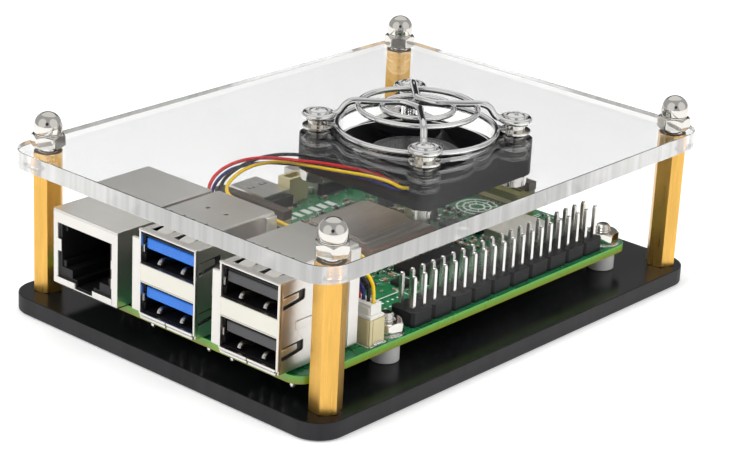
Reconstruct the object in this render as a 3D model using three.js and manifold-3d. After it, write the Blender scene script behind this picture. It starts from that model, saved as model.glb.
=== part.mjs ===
// A single board computer between two acrylic plates, with a fan and its finger guard.
// Millimetres, +Z up. The origin is the centre of the base plate's underside. The sockets
// for the network and USB plugs face -X, and the pin header runs along the -Y side.
import * as THREE from 'three';
import { mergeVertices } from 'three/addons/utils/BufferGeometryUtils.js';
import Module from 'manifold-3d';

const wasm = await Module();
wasm.setup();

// ---------------------------------------------------------------- driving dimensions

const PLATE = { length: 98.2, width: 72, thickness: 3, corner: 5 };
const POST = {
  acrossFlats: 4.6, height: 22.5, spacingX: 88.3, spacingY: 63.6, shiftX: 0.8,
  studRadius: 1.22, studLength: 5.9, boreRadius: 1.3, boreDepth: 8, clearance: 1.4,
  turns: [52, 11, 11, 14],
};
const ACORN = { acrossFlats: 5.1, hexHeight: 2.1, neckRadius: 2.3, domeRadius: 2.4, domeCentre: 3.45 };
const BOARD = {
  length: 85, width: 56, thickness: 1.4, corner: 3, holeRadius: 1.35,
  holesX: [23.5, 81.5], holesY: [3.5, 52.5],
};
const SPACER = { radius: 2.4, boreRadius: 1.4, height: 3.5 };
const BOARD_SCREW = { radius: 1.22, headRadius: 2.2, headHeight: 1.1, length: 11.1 };
const BOARD_NUT = { acrossFlats: 5, height: 2, boreRadius: 1.32 };

// The board's own frame: x from its socket edge, y from its pin header edge, z from its top.
const BOARD_AT = {
  x: 2.9 - PLATE.length / 2,
  y: 6.9 - PLATE.width / 2,
  z: PLATE.thickness + SPACER.height + BOARD.thickness,
};
const PLATE_GAP_TOP = PLATE.thickness + POST.height;

const FAN = {
  side: 30, depth: 6.5, corner: 2, boreRadius: 14.2, holePitch: 24, holeRadius: 1.6,
  hubRadius: 8.3, blades: 7, bladeTip: 13.6, bladePitch: 38, shaftRadius: 0.9,
};
// The fan's own frame: x and y from its axis, z from the top plate's underside.
const FAN_AT = { x: BOARD_AT.x + 55.8, y: BOARD_AT.y + 26.2, z: PLATE_GAP_TOP };
const VENT_RADIUS = 13.5;
const GUARD = {
  outerRing: 13.8, middleRing: 10.3, innerRing: 6.2, ringWire: 0.5, raised: 4,
  armWire: 0.6, armHeight: 4.85, eyeRadius: 2.4, eyeWire: 0.55, eyeHeight: 2.3,
  collarRadius: 2.1, collarBore: 1.5, tabWidth: 0.9,
};
const FAN_SCREW = { radius: 1.4, headRadius: 2.2, headBase: 2.9, headHeight: 1.35, below: 9.2 };
const FAN_NUT = { acrossFlats: 4.9, height: 2, boreRadius: 1.5 };

const ETHERNET = { x: [-2.8, 18.2], y: [37.8, 53.1], z: [0.4, 13.4], wall: 0.3 };
const USB = { x: [-2.5, 14.8], width: 12.7, z: [0.5, 15.5], wall: 0.3, centres: [26.75, 8.85] };
const HEADER = { columns: 20, pitch: 2.54, centreX: 52.5, centreY: 3.5, height: 2.54, pin: 0.64, tip: 8.4 };
const PROCESSOR = { x: [41, 58.4], y: [22.5, 39.9], baseHeight: 0.9, lidHeight: 1.9, lidInset: 0.7 };
const VIDEO_PORT = { width: 6.6, x: [45.2, 59.2], y: [48.6, 57], height: 3.1 };
const POWER_PORT = { width: 9, x: 73.8, y: [50, 57.4], height: 3.2 };
const DEBUG_PORT = { x: [48.8, 53.6], y: [48.9, 51.8], height: 4.6 };
const RIBBON = {
  width: 5, length: 16.4, height: 2.6, latchFrom: 0.3, latchTop: 4.2, slot: 0.9, lift: 1.0,
};
const CAMERA_PORTS = [{ x: 36.6, y: 47.6 }, { x: 29.9, y: 47.6 }];
const EXPANSION_PORT = { x: 80.3, y: 27, length: 14 };
const SWITCH = { x: [81.6, 84.9], y: [35.9, 40.1], height: 1.9, buttonWidth: 1.9, reach: 1.3, travel: 0.3 };
const FAN_SOCKET = { x: [16.6, 20], y: [0.9, 6.1], height: 4.3 };
const FAN_PLUG = { x: [17.05, 19.55], y: [1.35, 5.65], z: [1.2, 6.8], pitch: 1, firstY: 2, x0: 18.3 };
const WIRE_RADIUS = 0.35;

// Each wire runs from the fan's side, over the board, down behind the sockets and up into
// the plug. Points are in the board's frame, in order from the fan to the plug.
const WIRE_ROUTES = {
  yellow: [
    [41.4, 15.3, 14.3], [40.4, 16, 14.5], [39.8, 17.9, 15], [38.91, 21.09, 15.3], [36.66, 26.95, 15.3],
    [34.8, 32.6, 15.2], [33.4, 36.2, 15.1], [31.6, 38.1, 14.9], [28.9, 39.4, 14.5], [25.6, 39.5, 13.8],
    [22.9, 39, 12.7], [21.5, 37.4, 12], [21.2, 34, 11.6], [20.5, 26, 11.1], [20.1, 18, 11],
    [19.5, 11, 11.3], [18.9, 6.2, 11.6], [18.5, 3.8, 11.1], [18.3, 2.3, 9.8], [18.3, 2, 8.2], [18.3, 2, 6.3],
  ],
  black: [
    [41.4, 17.1, 15.45], [40.3, 17.9, 15.8], [39.7, 20.4, 16.3], [38.41, 24.09, 16.6], [36.95, 28.85, 16.7],
    [35.1, 33.9, 16.55], [33.4, 37, 16.2], [31.4, 39.4, 15.5], [28.6, 40.4, 14.8], [25.5, 40.3, 14.2],
    [22.9, 39.9, 13.3], [21.2, 39.2, 11.8], [20.6, 34, 10.9], [20, 26, 10.3], [19.7, 18, 10.1],
    [19.2, 11, 10.4], [18.7, 6.8, 10.6], [18.4, 4.5, 10.1], [18.3, 3.2, 9], [18.3, 3, 7.6], [18.3, 3, 6.3],
  ],
  blue: [
    [41.4, 16.3, 14], [40.3, 17.1, 13.9], [39.65, 19.9, 14.3], [38.86, 22.99, 14.65], [37.15, 28.25, 14.8],
    [35.7, 33, 14.7], [34.6, 36.6, 14.4], [32.5, 39.7, 14.2], [29.6, 41.4, 14], [26.2, 41.9, 13.7],
    [22.8, 41.5, 12.6], [20.7, 40.3, 11.2], [20, 37.6, 10.4], [19.8, 34, 10.1], [19.5, 26, 9.4],
    [19.3, 18, 9.2], [18.9, 11, 9.4], [18.6, 7.2, 9.6], [18.4, 5.3, 9.2], [18.3, 4.2, 8.2], [18.3, 4, 6.3],
  ],
  red: [
    [41.4, 17.5, 14.6], [40.4, 18.6, 15], [40, 21.2, 15.55], [38.11, 25.09, 15.9], [35.95, 29.55, 16.05],
    [33.9, 33.8, 15.9], [32, 36.9, 15.9], [29.3, 39.4, 15.8], [26.6, 40.9, 15.3], [24, 41.4, 14.6],
    [21.7, 41.2, 13.6], [20, 40.4, 12.3], [19.2, 38, 11], [19, 34, 9.8], [19, 26, 8.6],
    [18.9, 18, 8.3], [18.7, 11, 8.5], [18.5, 7.6, 8.6], [18.3, 5.8, 8.2], [18.3, 5, 7.3], [18.3, 5, 6.3],
  ],
};

// ---------------------------------------------------------------- materials

function finish(color, roughness, metalness, more = {}) {
  return new THREE.MeshStandardMaterial({ color, roughness, metalness, ...more });
}

const MATERIALS = {
  blackAcrylic: finish('#15161a', 0.12, 0),
  clearAcrylic: finish('#eef2f2', 0.05, 0, { transparent: true, opacity: 0.3 }),
  brass: finish('#dca842', 0.35, 1),
  nickel: finish('#d5d2cc', 0.2, 1),
  chrome: finish('#e2e2e2', 0.08, 1),
  plainSteel: finish('#c9c5bd', 0.35, 1),
  nylon: finish('#c8c8c6', 0.6, 0),
  greenBoard: finish('#14663a', 0.35, 0),
  darkPlastic: finish('#17181b', 0.45, 0),
  bluePlastic: finish('#1f6fd6', 0.4, 0),
  greyPlastic: finish('#3a3c40', 0.45, 0),
  lidMetal: finish('#857c70', 0.45, 0.8),
  creamPlastic: finish('#d6cca4', 0.5, 0),
  whitePlastic: finish('#ecebe6', 0.5, 0),
  brownPlastic: finish('#4c4138', 0.45, 0),
  fanPlastic: finish('#232326', 0.5, 0),
  yellowWire: finish('#e8bf12', 0.45, 0),
  blackWire: finish('#1c1c20', 0.45, 0),
  blueWire: finish('#23256e', 0.45, 0),
  redWire: finish('#c41a1f', 0.45, 0),
};

// ---------------------------------------------------------------- shape helpers

// Turns a closed three.js geometry into a solid that can be cut and joined.
function solid(geometry) {
  const bare = geometry.clone();
  bare.deleteAttribute('normal');
  bare.deleteAttribute('uv');
  const merged = mergeVertices(bare, 1e-5);
  return new wasm.Manifold(new wasm.Mesh({
    numProp: 3,
    vertProperties: Float32Array.from(merged.attributes.position.array),
    triVerts: Uint32Array.from(merged.index.array),
  }));
}

function geometryOf(shape) {
  const mesh = shape.getMesh();
  const geometry = new THREE.BufferGeometry();
  geometry.setAttribute('position', new THREE.BufferAttribute(mesh.vertProperties, 3));
  geometry.setIndex(new THREE.BufferAttribute(mesh.triVerts, 1));
  geometry.computeVertexNormals();
  return geometry;
}

function joined(first, ...rest) {
  return rest.reduce((whole, piece) => whole.add(piece), first);
}

function without(first, ...rest) {
  return rest.reduce((whole, piece) => whole.subtract(piece), first);
}

function block([x0, x1], [y0, y1], [z0, z1]) {
  const box = new THREE.BoxGeometry(x1 - x0, y1 - y0, z1 - z0);
  return solid(box.translate((x0 + x1) / 2, (y0 + y1) / 2, (z0 + z1) / 2));
}

// A cylinder, cone or regular prism along Z from z0 to z1.
function rod(radius, z0, z1, { x = 0, y = 0, sides = 20, topRadius = radius, turn = 0 } = {}) {
  const cylinder = new THREE.CylinderGeometry(topRadius, radius, z1 - z0, sides);
  cylinder.rotateX(Math.PI / 2).rotateZ(turn);
  return solid(cylinder.translate(x, y, (z0 + z1) / 2));
}

// A hexagonal prism. Its turn is the direction, in degrees, that one of its flats faces.
function hexagon(acrossFlats, z0, z1, turn = 0) {
  return rod(acrossFlats / Math.sqrt(3), z0, z1, { sides: 6, turn: THREE.MathUtils.degToRad(turn) });
}

// A solid of revolution about Z. The profile lists [radius, z] from the bottom to the top.
function turned(profile, sides = 20) {
  const lathe = new THREE.LatheGeometry(profile.map(([r, z]) => new THREE.Vector2(r, z)), sides);
  return solid(lathe.rotateX(Math.PI / 2));
}

function roundedRectangle(length, width, corner) {
  const x = length / 2;
  const y = width / 2;
  const shape = new THREE.Shape();
  shape.moveTo(-x + corner, -y);
  shape.lineTo(x - corner, -y);
  shape.absarc(x - corner, -y + corner, corner, -Math.PI / 2, 0);
  shape.absarc(x - corner, y - corner, corner, 0, Math.PI / 2);
  shape.absarc(-x + corner, y - corner, corner, Math.PI / 2, Math.PI);
  shape.absarc(-x + corner, -y + corner, corner, Math.PI, 1.5 * Math.PI);
  return shape;
}

function slab(length, width, corner, z0, z1) {
  const geometry = new THREE.ExtrudeGeometry(roundedRectangle(length, width, corner), {
    depth: z1 - z0, bevelEnabled: false, curveSegments: 6,
  });
  return solid(geometry.translate(0, 0, z0));
}

// A round wire or cable along a smooth curve through the points.
function cable(points, radius, steps, sides = 8) {
  const section = new THREE.Shape();
  section.setFromPoints(Array.from({ length: sides }, (_, i) => {
    const angle = (2 * Math.PI * i) / sides;
    return new THREE.Vector2(radius * Math.cos(angle), radius * Math.sin(angle));
  }));
  const path = new THREE.CatmullRomCurve3(points.map((p) => new THREE.Vector3(...p)), false, 'centripetal');
  return solid(new THREE.ExtrudeGeometry(section, { steps, extrudePath: path, bevelEnabled: false }));
}

function ring(radius, wire, z, { x = 0, y = 0, segments = 30 } = {}) {
  return solid(new THREE.TorusGeometry(radius, wire, 6, segments).translate(x, y, z));
}

// ---------------------------------------------------------------- scene graph

const computer = new THREE.Group();
const board = new THREE.Group();
const fan = new THREE.Group();
board.position.set(BOARD_AT.x, BOARD_AT.y, BOARD_AT.z);
fan.position.set(FAN_AT.x, FAN_AT.y, FAN_AT.z);
computer.add(board, fan);

function place(parent, name, shape, material, [x, y, z] = [0, 0, 0]) {
  const mesh = new THREE.Mesh(geometryOf(shape), material);
  mesh.name = name;
  mesh.position.set(x, y, z);
  parent.add(mesh);
}

const SIGNS = [[-1, -1], [1, -1], [1, 1], [-1, 1]];
const postPlaces = SIGNS.map(([sx, sy]) => [
  POST.shiftX + (sx * POST.spacingX) / 2,
  (sy * POST.spacingY) / 2,
]);
const boardHoles = BOARD.holesX.flatMap((x) => BOARD.holesY.map((y) => [x, y]));
const fanHoles = SIGNS.map(([sx, sy]) => [(sx * FAN.holePitch) / 2, (sy * FAN.holePitch) / 2]);

// ---------------------------------------------------------------- the case

// A hole for a flush screw: a clear bore with a cone at the underside.
function countersunk(x, y, bore, head, z1) {
  return joined(
    rod(bore, -1, z1, { x, y, sides: 12 }),
    rod(head, -0.001, head - bore, { x, y, sides: 12, topRadius: bore }),
  );
}

function basePlate() {
  let plate = slab(PLATE.length, PLATE.width, PLATE.corner, 0, PLATE.thickness);
  for (const [x, y] of postPlaces) {
    plate = plate.subtract(countersunk(x, y, POST.clearance, 2.5, PLATE.thickness + 1));
  }
  for (const [x, y] of boardHoles) {
    const bore = BOARD.holeRadius;
    plate = plate.subtract(countersunk(x + BOARD_AT.x, y + BOARD_AT.y, bore, 2.4, PLATE.thickness + 1));
  }
  return plate;
}

function topPlate() {
  const z0 = PLATE_GAP_TOP;
  const z1 = z0 + PLATE.thickness;
  const vent = rod(VENT_RADIUS, z0 - 1, z1 + 1, { x: FAN_AT.x, y: FAN_AT.y, sides: 40 });
  let plate = slab(PLATE.length, PLATE.width, PLATE.corner, z0, z1).subtract(vent);
  for (const [x, y] of postPlaces) {
    plate = plate.subtract(rod(POST.clearance, z0 - 1, z1 + 1, { x, y, sides: 12 }));
  }
  for (const [x, y] of fanHoles) {
    const at = { x: x + FAN_AT.x, y: y + FAN_AT.y, sides: 12 };
    plate = plate.subtract(rod(FAN.holeRadius, z0 - 1, z1 + 1, at));
  }
  return plate;
}

function standoff(turn) {
  const body = hexagon(POST.acrossFlats, 0, POST.height, turn);
  const stud = rod(POST.studRadius, POST.height - 1, POST.height + POST.studLength, { sides: 12 });
  return joined(body, stud).subtract(rod(POST.boreRadius, -1, POST.boreDepth, { sides: 12 }));
}

function acornNut() {
  const { hexHeight, neckRadius, domeRadius, domeCentre } = ACORN;
  const profile = [[0, 0.2], [neckRadius, 0.2], [neckRadius, hexHeight + 0.2]];
  const rings = 5;
  for (let i = 0; i <= rings; i += 1) {
    const angle = (Math.PI / 2) * (i / rings);
    const radius = i === rings ? 0 : domeRadius * Math.cos(angle);
    profile.push([radius, domeCentre + domeRadius * Math.sin(angle)]);
  }
  const dome = turned(profile, 14);
  const bore = rod(POST.studRadius + 0.1, -1, POST.studLength - PLATE.thickness + 0.4, { sides: 12 });
  return joined(hexagon(ACORN.acrossFlats, 0, hexHeight), dome).subtract(bore);
}

function addCase() {
  place(computer, 'base_plate', basePlate(), MATERIALS.blackAcrylic);
  place(computer, 'top_plate', topPlate(), MATERIALS.clearAcrylic);
  postPlaces.forEach(([x, y], i) => {
    place(computer, `standoff_${i + 1}`, standoff(POST.turns[i]), MATERIALS.brass, [x, y, PLATE.thickness]);
    const top = PLATE_GAP_TOP + PLATE.thickness;
    place(computer, `acorn_nut_${i + 1}`, acornNut(), MATERIALS.nickel, [x, y, top]);
  });
}

// ---------------------------------------------------------------- the board and its fixings

function mainBoard() {
  const { length, width, corner, thickness } = BOARD;
  let plate = slab(length, width, corner, -thickness, 0).translate([length / 2, width / 2, 0]);
  for (const [x, y] of boardHoles) {
    plate = plate.subtract(rod(BOARD.holeRadius, -thickness - 1, 1, { x, y, sides: 12 }));
  }
  return plate;
}

function boardSpacer() {
  const bore = rod(SPACER.boreRadius, -1, SPACER.height + 1, { sides: 12 });
  return rod(SPACER.radius, 0, SPACER.height, { sides: 16 }).subtract(bore);
}

function boardScrew() {
  const { radius, headRadius, headHeight, length } = BOARD_SCREW;
  return turned([[0, 0], [headRadius, 0], [radius, headHeight], [radius, length], [0, length]], 12);
}

function boardNut() {
  const { acrossFlats, height, boreRadius } = BOARD_NUT;
  return hexagon(acrossFlats, 0, height).subtract(rod(boreRadius, -1, height + 1, { sides: 12 }));
}

function addBoard() {
  place(board, 'main_board', mainBoard(), MATERIALS.greenBoard);
  boardHoles.forEach(([x, y], i) => {
    const under = -BOARD.thickness - SPACER.height;
    place(board, `board_spacer_${i + 1}`, boardSpacer(), MATERIALS.nylon, [x, y, under]);
    place(board, `board_screw_${i + 1}`, boardScrew(), MATERIALS.nickel, [x, y, under - PLATE.thickness]);
    place(board, `board_nut_${i + 1}`, boardNut(), MATERIALS.nickel, [x, y, 0]);
  });
}

// ---------------------------------------------------------------- sockets on the -X edge

// The network socket's metal can: open below, with one large mouth in its front wall.
function ethernetShell() {
  const { x: [x0, x1], y: [y0, y1], z: [z0, z1], wall } = ETHERNET;
  const outside = block([x0, x1], [y0, y1], [z0, z1]);
  const inside = block([x0 + wall, x1 - wall], [y0 + wall, y1 - wall], [z0 - 1, z1 - wall]);
  const mouth = block([x0 - 1, x0 + 1], [39.2, 52.1], [1.6, 11.1]);
  const latchNotch = block([x0 - 1, x0 + 1], [43.75, 47.85], [z0 - 1, 2]);
  return without(outside, inside, mouth, latchNotch);
}

// The plastic core, with the stepped hollow that a plug and its latch go into.
function ethernetInsert() {
  const core = block([-2.4, 17.8], [38.2, 52.7], [0, 13]);
  const plugRoom = block([-3, 10.6], [39.9, 51.4], [3.4, 10.9]);
  const step = block([-3, 9], [42.4, 48.9], [2, 4]);
  const latchRoom = block([-3, 8], [43.8, 47.8], [0.9, 3]);
  return without(core, plugRoom, step, latchRoom);
}

const USB_BAYS = [[1.5, 6.6], [9.8, 14.9]];

// A stacked pair's metal can: open at the front, with a bar between its two bays.
function usbShell() {
  const { x: [x0, x1], width, z: [z0, z1], wall } = USB;
  const half = width / 2;
  const outside = block([x0, x1], [-half, half], [z0, z1]);
  const inside = block([x0 - 1, x1 - wall], [wall - half, half - wall], [z0 + 0.8, z1 - wall]);
  const openBack = block([6.9, x1 - wall], [wall - half, half - wall], [z0 - 1, z0 + 1]);
  const bar = block([x0, x0 + wall], [0.2 - half, half - 0.2], [USB_BAYS[0][1], USB_BAYS[1][0]]);
  const sideLip = block([x0, x0 + wall], [half - 0.2, half + 1.5], [1.4, 13.9]);
  return joined(without(outside, inside, openBack), bar, sideLip);
}

function usbInsert() {
  const half = USB.width / 2 - USB.wall - 0.1;
  const back = block([7.1, 14.3], [-half, half], [0, 15.05]);
  const web = block([USB.x[0] + 0.45, 7.5], [-half, half], [6.8, 9.6]);
  const tongues = USB_BAYS.map(([z0]) => block([-1.7, 7.5], [-5.5, 5.5], [z0 + 2.4, z0 + 4.2]));
  return joined(back, web, ...tongues);
}

function addSockets() {
  place(board, 'ethernet_shell', ethernetShell(), MATERIALS.plainSteel);
  place(board, 'ethernet_insert', ethernetInsert(), MATERIALS.darkPlastic);
  USB.centres.forEach((y, i) => {
    const plastic = i === 0 ? MATERIALS.bluePlastic : MATERIALS.greyPlastic;
    place(board, `usb_shell_${i + 1}`, usbShell(), MATERIALS.plainSteel, [0, y, 0]);
    place(board, `usb_insert_${i + 1}`, usbInsert(), plastic, [0, y, 0]);
  });
}

// ---------------------------------------------------------------- parts on the board

// The pin header: a plastic strip, grooved between pairs of columns, and its square pins.
function pinHeader() {
  const { columns, pitch, centreX, centreY, height, pin, tip } = HEADER;
  const halfLength = (columns * pitch) / 2;
  const long = [centreX - halfLength, centreX + halfLength];
  let strip = block(long, [centreY - pitch, centreY + pitch], [0, height]);
  for (let column = 2; column < columns; column += 2) {
    const x = centreX - halfLength + column * pitch;
    for (const side of [-1, 1]) {
      const y = centreY + side * pitch;
      strip = strip.subtract(block([x - 0.2, x + 0.2], [y - 0.3, y + 0.3], [-1, height + 1]));
    }
  }
  for (let column = 0; column < columns; column += 1) {
    const x = centreX - halfLength + (column + 0.5) * pitch;
    for (const side of [-1, 1]) {
      const y = centreY + (side * pitch) / 2;
      const half = pin / 2;
      strip = strip.add(block([x - half, x + half], [y - half, y + half], [height - 0.5, tip]));
    }
  }
  return strip;
}

function processor() {
  const { x: [x0, x1], y: [y0, y1], baseHeight, lidHeight, lidInset } = PROCESSOR;
  const base = block([x0, x1], [y0, y1], [0, baseHeight]);
  const lid = block(
    [x0 + lidInset, x1 - lidInset],
    [y0 + lidInset, y1 - lidInset],
    [baseHeight - 0.1, lidHeight],
  );
  return joined(base, lid);
}

// A small socket on the +Y edge: a metal can around a thin tongue.
function edgeSocket(width, y0, y1, height) {
  const half = width / 2;
  const can = block([-half, half], [y0, y1], [0, height]);
  const mouth = block([0.35 - half, half - 0.35], [y1 - 5, y1 + 1], [0.45, height - 0.35]);
  const middle = height / 2;
  const tongue = block([1.2 - half, half - 1.2], [y1 - 5.5, y1 - 0.6], [middle - 0.3, middle + 0.3]);
  return joined(can.subtract(mouth), tongue);
}

function debugPort() {
  const { x: [x0, x1], y: [y0, y1], height } = DEBUG_PORT;
  const well = block([x0 + 0.7, x1 - 0.7], [y0 + 0.6, y1 - 0.6], [0.9, height + 1]);
  return block([x0, x1], [y0, y1], [0, height]).subtract(well);
}

// A flat-cable connector stands on end: its slot opens upwards beside a latch that lifts.
function ribbonBody(length) {
  const { width, height, latchFrom, slot } = RIBBON;
  const half = width / 2;
  const body = block([-half, half], [-length / 2, length / 2], [0, height]);
  const opening = block([latchFrom - slot, latchFrom], [1 - length / 2, length / 2 - 1], [0.6, height + 1]);
  return body.subtract(opening);
}

function ribbonLatch(length) {
  const { width, height, latchFrom, latchTop } = RIBBON;
  const half = length / 2 + 0.2;
  return block([latchFrom + 0.2, width / 2], [-half, half], [height + 0.05, latchTop]);
}

function powerSwitch() {
  const { x: [x0, x1], y: [y0, y1], height, buttonWidth, travel } = SWITCH;
  const middle = (y0 + y1) / 2;
  const half = buttonWidth / 2 + 0.1;
  const guide = block([x1 - 1 - travel - 0.2, x1 + 1], [middle - half, middle + half], [0.4, 1.6]);
  return block([x0, x1], [y0, y1], [0, height]).subtract(guide);
}

function powerButton() {
  const { x: [, x1], y: [y0, y1], buttonWidth, reach } = SWITCH;
  const middle = (y0 + y1) / 2;
  const half = buttonWidth / 2;
  return block([x1 - 1, x1 + reach], [middle - half, middle + half], [0.5, 1.5]);
}

function fanSocket() {
  const { x, y, height } = FAN_SOCKET;
  const well = block([x[0] + 0.4, x[1] - 0.4], [y[0] + 0.4, y[1] - 0.4], [1, height + 1]);
  return block(x, y, [0, height]).subtract(well);
}

function fanPlug() {
  const { x, y, z, pitch, firstY, x0 } = FAN_PLUG;
  let plug = block(x, y, z);
  for (let i = 0; i < 4; i += 1) {
    const hole = rod(WIRE_RADIUS + 0.1, z[1] - 0.9, z[1] + 1, { x: x0, y: firstY + i * pitch, sides: 8 });
    plug = plug.subtract(hole);
  }
  return plug;
}

function addComponents() {
  place(board, 'pin_header', pinHeader(), MATERIALS.darkPlastic);
  place(board, 'processor', processor(), MATERIALS.lidMetal);
  VIDEO_PORT.x.forEach((x, i) => {
    const socket = edgeSocket(VIDEO_PORT.width, ...VIDEO_PORT.y, VIDEO_PORT.height);
    place(board, `video_port_${i + 1}`, socket, MATERIALS.plainSteel, [x, 0, 0]);
  });
  const power = edgeSocket(POWER_PORT.width, ...POWER_PORT.y, POWER_PORT.height);
  place(board, 'power_port', power, MATERIALS.plainSteel, [POWER_PORT.x, 0, 0]);
  place(board, 'debug_connector', debugPort(), MATERIALS.creamPlastic);
  CAMERA_PORTS.forEach(({ x, y }, i) => {
    const { length } = RIBBON;
    place(board, `camera_connector_${i + 1}`, ribbonBody(length), MATERIALS.creamPlastic, [x, y, 0]);
    place(board, `camera_latch_${i + 1}`, ribbonLatch(length), MATERIALS.brownPlastic, [x, y, 0]);
  });
  const { x, y, length } = EXPANSION_PORT;
  place(board, 'expansion_connector', ribbonBody(length), MATERIALS.creamPlastic, [x, y, 0]);
  place(board, 'expansion_latch', ribbonLatch(length), MATERIALS.brownPlastic, [x, y, 0]);
  place(board, 'power_switch', powerSwitch(), MATERIALS.plainSteel);
  place(board, 'power_button', powerButton(), MATERIALS.whitePlastic);
}

// ---------------------------------------------------------------- the fan

// The fan's square frame: open above, with four ribs to the motor's mount below.
function fanFrame() {
  const { side, depth, corner, boreRadius, hubRadius, holeRadius, shaftRadius } = FAN;
  const floor = 1.1;
  const bore = rod(boreRadius, -depth - 1, 1, { sides: 32 });
  const square = slab(side, side, corner, -depth, 0).subtract(bore);
  const mount = rod(hubRadius, -depth, floor - depth, { sides: 24 });
  const ribs = [0, 1].map((i) => {
    const long = [-boreRadius - 0.3, boreRadius + 0.3];
    const wide = [-0.9, 0.9];
    return block(i ? wide : long, i ? long : wide, [-depth, floor - depth]);
  });
  const bearing = rod(shaftRadius + 0.1, 0.3 - depth, 1, { sides: 12 });
  let frame = without(joined(square, mount, ...ribs), bearing);
  for (const [x, y] of fanHoles) {
    frame = frame.subtract(rod(holeRadius, -depth - 1, 1, { x, y, sides: 12 }));
  }
  const leadExit = block([-side / 2 - 1, 1.1 - side / 2], [-11.6, -6.9], [-4.2, -0.8]);
  return frame.subtract(leadExit);
}

function fanRotor() {
  const { hubRadius, blades, bladeTip, bladePitch, shaftRadius, depth } = FAN;
  const top = -0.8;
  const bottom = -4.9;
  const hub = rod(hubRadius, bottom, top, { sides: 24 });
  const shaft = rod(shaftRadius, 0.6 - depth, bottom + 1, { sides: 12 });
  const inner = hubRadius - 0.6;
  const length = bladeTip - inner;
  const vanes = Array.from({ length: blades }, (_, i) => {
    const vane = new THREE.BoxGeometry(length, 5.6, 0.7);
    vane.rotateX(THREE.MathUtils.degToRad(bladePitch));
    vane.translate(inner + length / 2, 0, (top + bottom) / 2);
    vane.rotateZ((2 * Math.PI * i) / blades);
    return solid(vane);
  });
  return joined(hub, shaft, ...vanes);
}

// One arm of the guard: from the eye in one corner, up and in towards the middle, round a
// bend and out to the eye in the next corner. The corners are unit diagonals.
function guardArm(from, to) {
  const { armHeight, eyeHeight, armWire, eyeRadius } = GUARD;
  const eyeAt = FAN.holePitch / Math.SQRT2;
  const start = eyeAt - eyeRadius;
  const rise = [[start, eyeHeight], [start - 1.1, eyeHeight + 0.5], [start - 2.2, armHeight - 0.6]];
  const level = [[start - 3.4, armHeight], [8, armHeight], [4.6, armHeight], [2.9, armHeight]];
  const half = [...rise, ...level];
  const bend = [(from[0] + to[0]) * 1.25, (from[1] + to[1]) * 1.25, armHeight];
  const along = (direction) => half.map(([r, z]) => [direction[0] * r, direction[1] * r, z]);
  return cable([...along(from), bend, ...along(to).reverse()], armWire, 30, 6);
}

// The collar that holds one eye above the plate, with a tab from its foot to the outer ring.
function guardCollar([x, y]) {
  const { outerRing, ringWire, eyeHeight, collarRadius, collarBore, tabWidth } = GUARD;
  const collar = rod(collarRadius, 0, eyeHeight, { x, y, sides: 16 });
  const half = tabWidth / 2;
  const tab = block([outerRing - 0.2, Math.hypot(x, y) - collarBore - 0.3], [-half, half], [0, 2 * ringWire]);
  const turn = THREE.MathUtils.radToDeg(Math.atan2(y, x));
  return joined(collar, tab.rotate([0, 0, turn])).subtract(rod(collarBore, -1, 4, { x, y, sides: 12 }));
}

function fingerGuard() {
  const { outerRing, middleRing, innerRing, ringWire, raised, eyeRadius, eyeWire, eyeHeight } = GUARD;
  const d = Math.SQRT1_2;
  const [front, right, back, left] = SIGNS.map(([sx, sy]) => [sx * d, sy * d]);
  const eyes = fanHoles.map(([x, y]) => ring(eyeRadius, eyeWire, eyeHeight, { x, y, segments: 12 }));
  return joined(
    ring(outerRing, ringWire, ringWire),
    ring(middleRing, ringWire, raised),
    ring(innerRing, ringWire, raised, { segments: 20 }),
    guardArm(left, front),
    guardArm(right, back),
    ...eyes,
    ...fanHoles.map(guardCollar),
  );
}

function fanScrew() {
  const { radius, headRadius, headBase, headHeight, below } = FAN_SCREW;
  const top = headBase + headHeight;
  return turned([
    [0, -PLATE.thickness - below], [radius, -PLATE.thickness - below], [radius, headBase],
    [headRadius, headBase], [headRadius, headBase + 0.6], [headRadius * 0.75, top - 0.15], [0, top],
  ], 12);
}

function fanNut() {
  const { acrossFlats, height, boreRadius } = FAN_NUT;
  return hexagon(acrossFlats, -height, 0).subtract(rod(boreRadius, -height - 1, 1, { sides: 12 }));
}

function addFan() {
  place(fan, 'fan_frame', fanFrame(), MATERIALS.fanPlastic);
  place(fan, 'fan_rotor', fanRotor(), MATERIALS.fanPlastic);
  place(fan, 'finger_guard', fingerGuard(), MATERIALS.chrome, [0, 0, PLATE.thickness]);
  fanHoles.forEach(([x, y], i) => {
    place(fan, `fan_screw_${i + 1}`, fanScrew(), MATERIALS.chrome, [x, y, PLATE.thickness]);
    place(fan, `fan_nut_${i + 1}`, fanNut(), MATERIALS.nickel, [x, y, -FAN.depth]);
  });
}

function addFanLead() {
  place(board, 'fan_connector', fanSocket(), MATERIALS.creamPlastic);
  place(board, 'fan_plug', fanPlug(), MATERIALS.whitePlastic);
  for (const [colour, route] of Object.entries(WIRE_ROUTES)) {
    place(board, `fan_wire_${colour}`, cable(route, WIRE_RADIUS, 38), MATERIALS[`${colour}Wire`]);
  }
}

addCase();
addBoard();
addSockets();
addComponents();
addFan();
addFanLead();

export default computer;
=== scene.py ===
"""The looks of a single board computer between two acrylic plates.

Shapes here are in millimetres and are scaled to metres when they become objects. Each
group of shapes is made in the board's own frame or the fan's, as the CAD is.
"""

import math
import random

import bmesh
import bpy
from mathutils import Matrix, Vector


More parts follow.
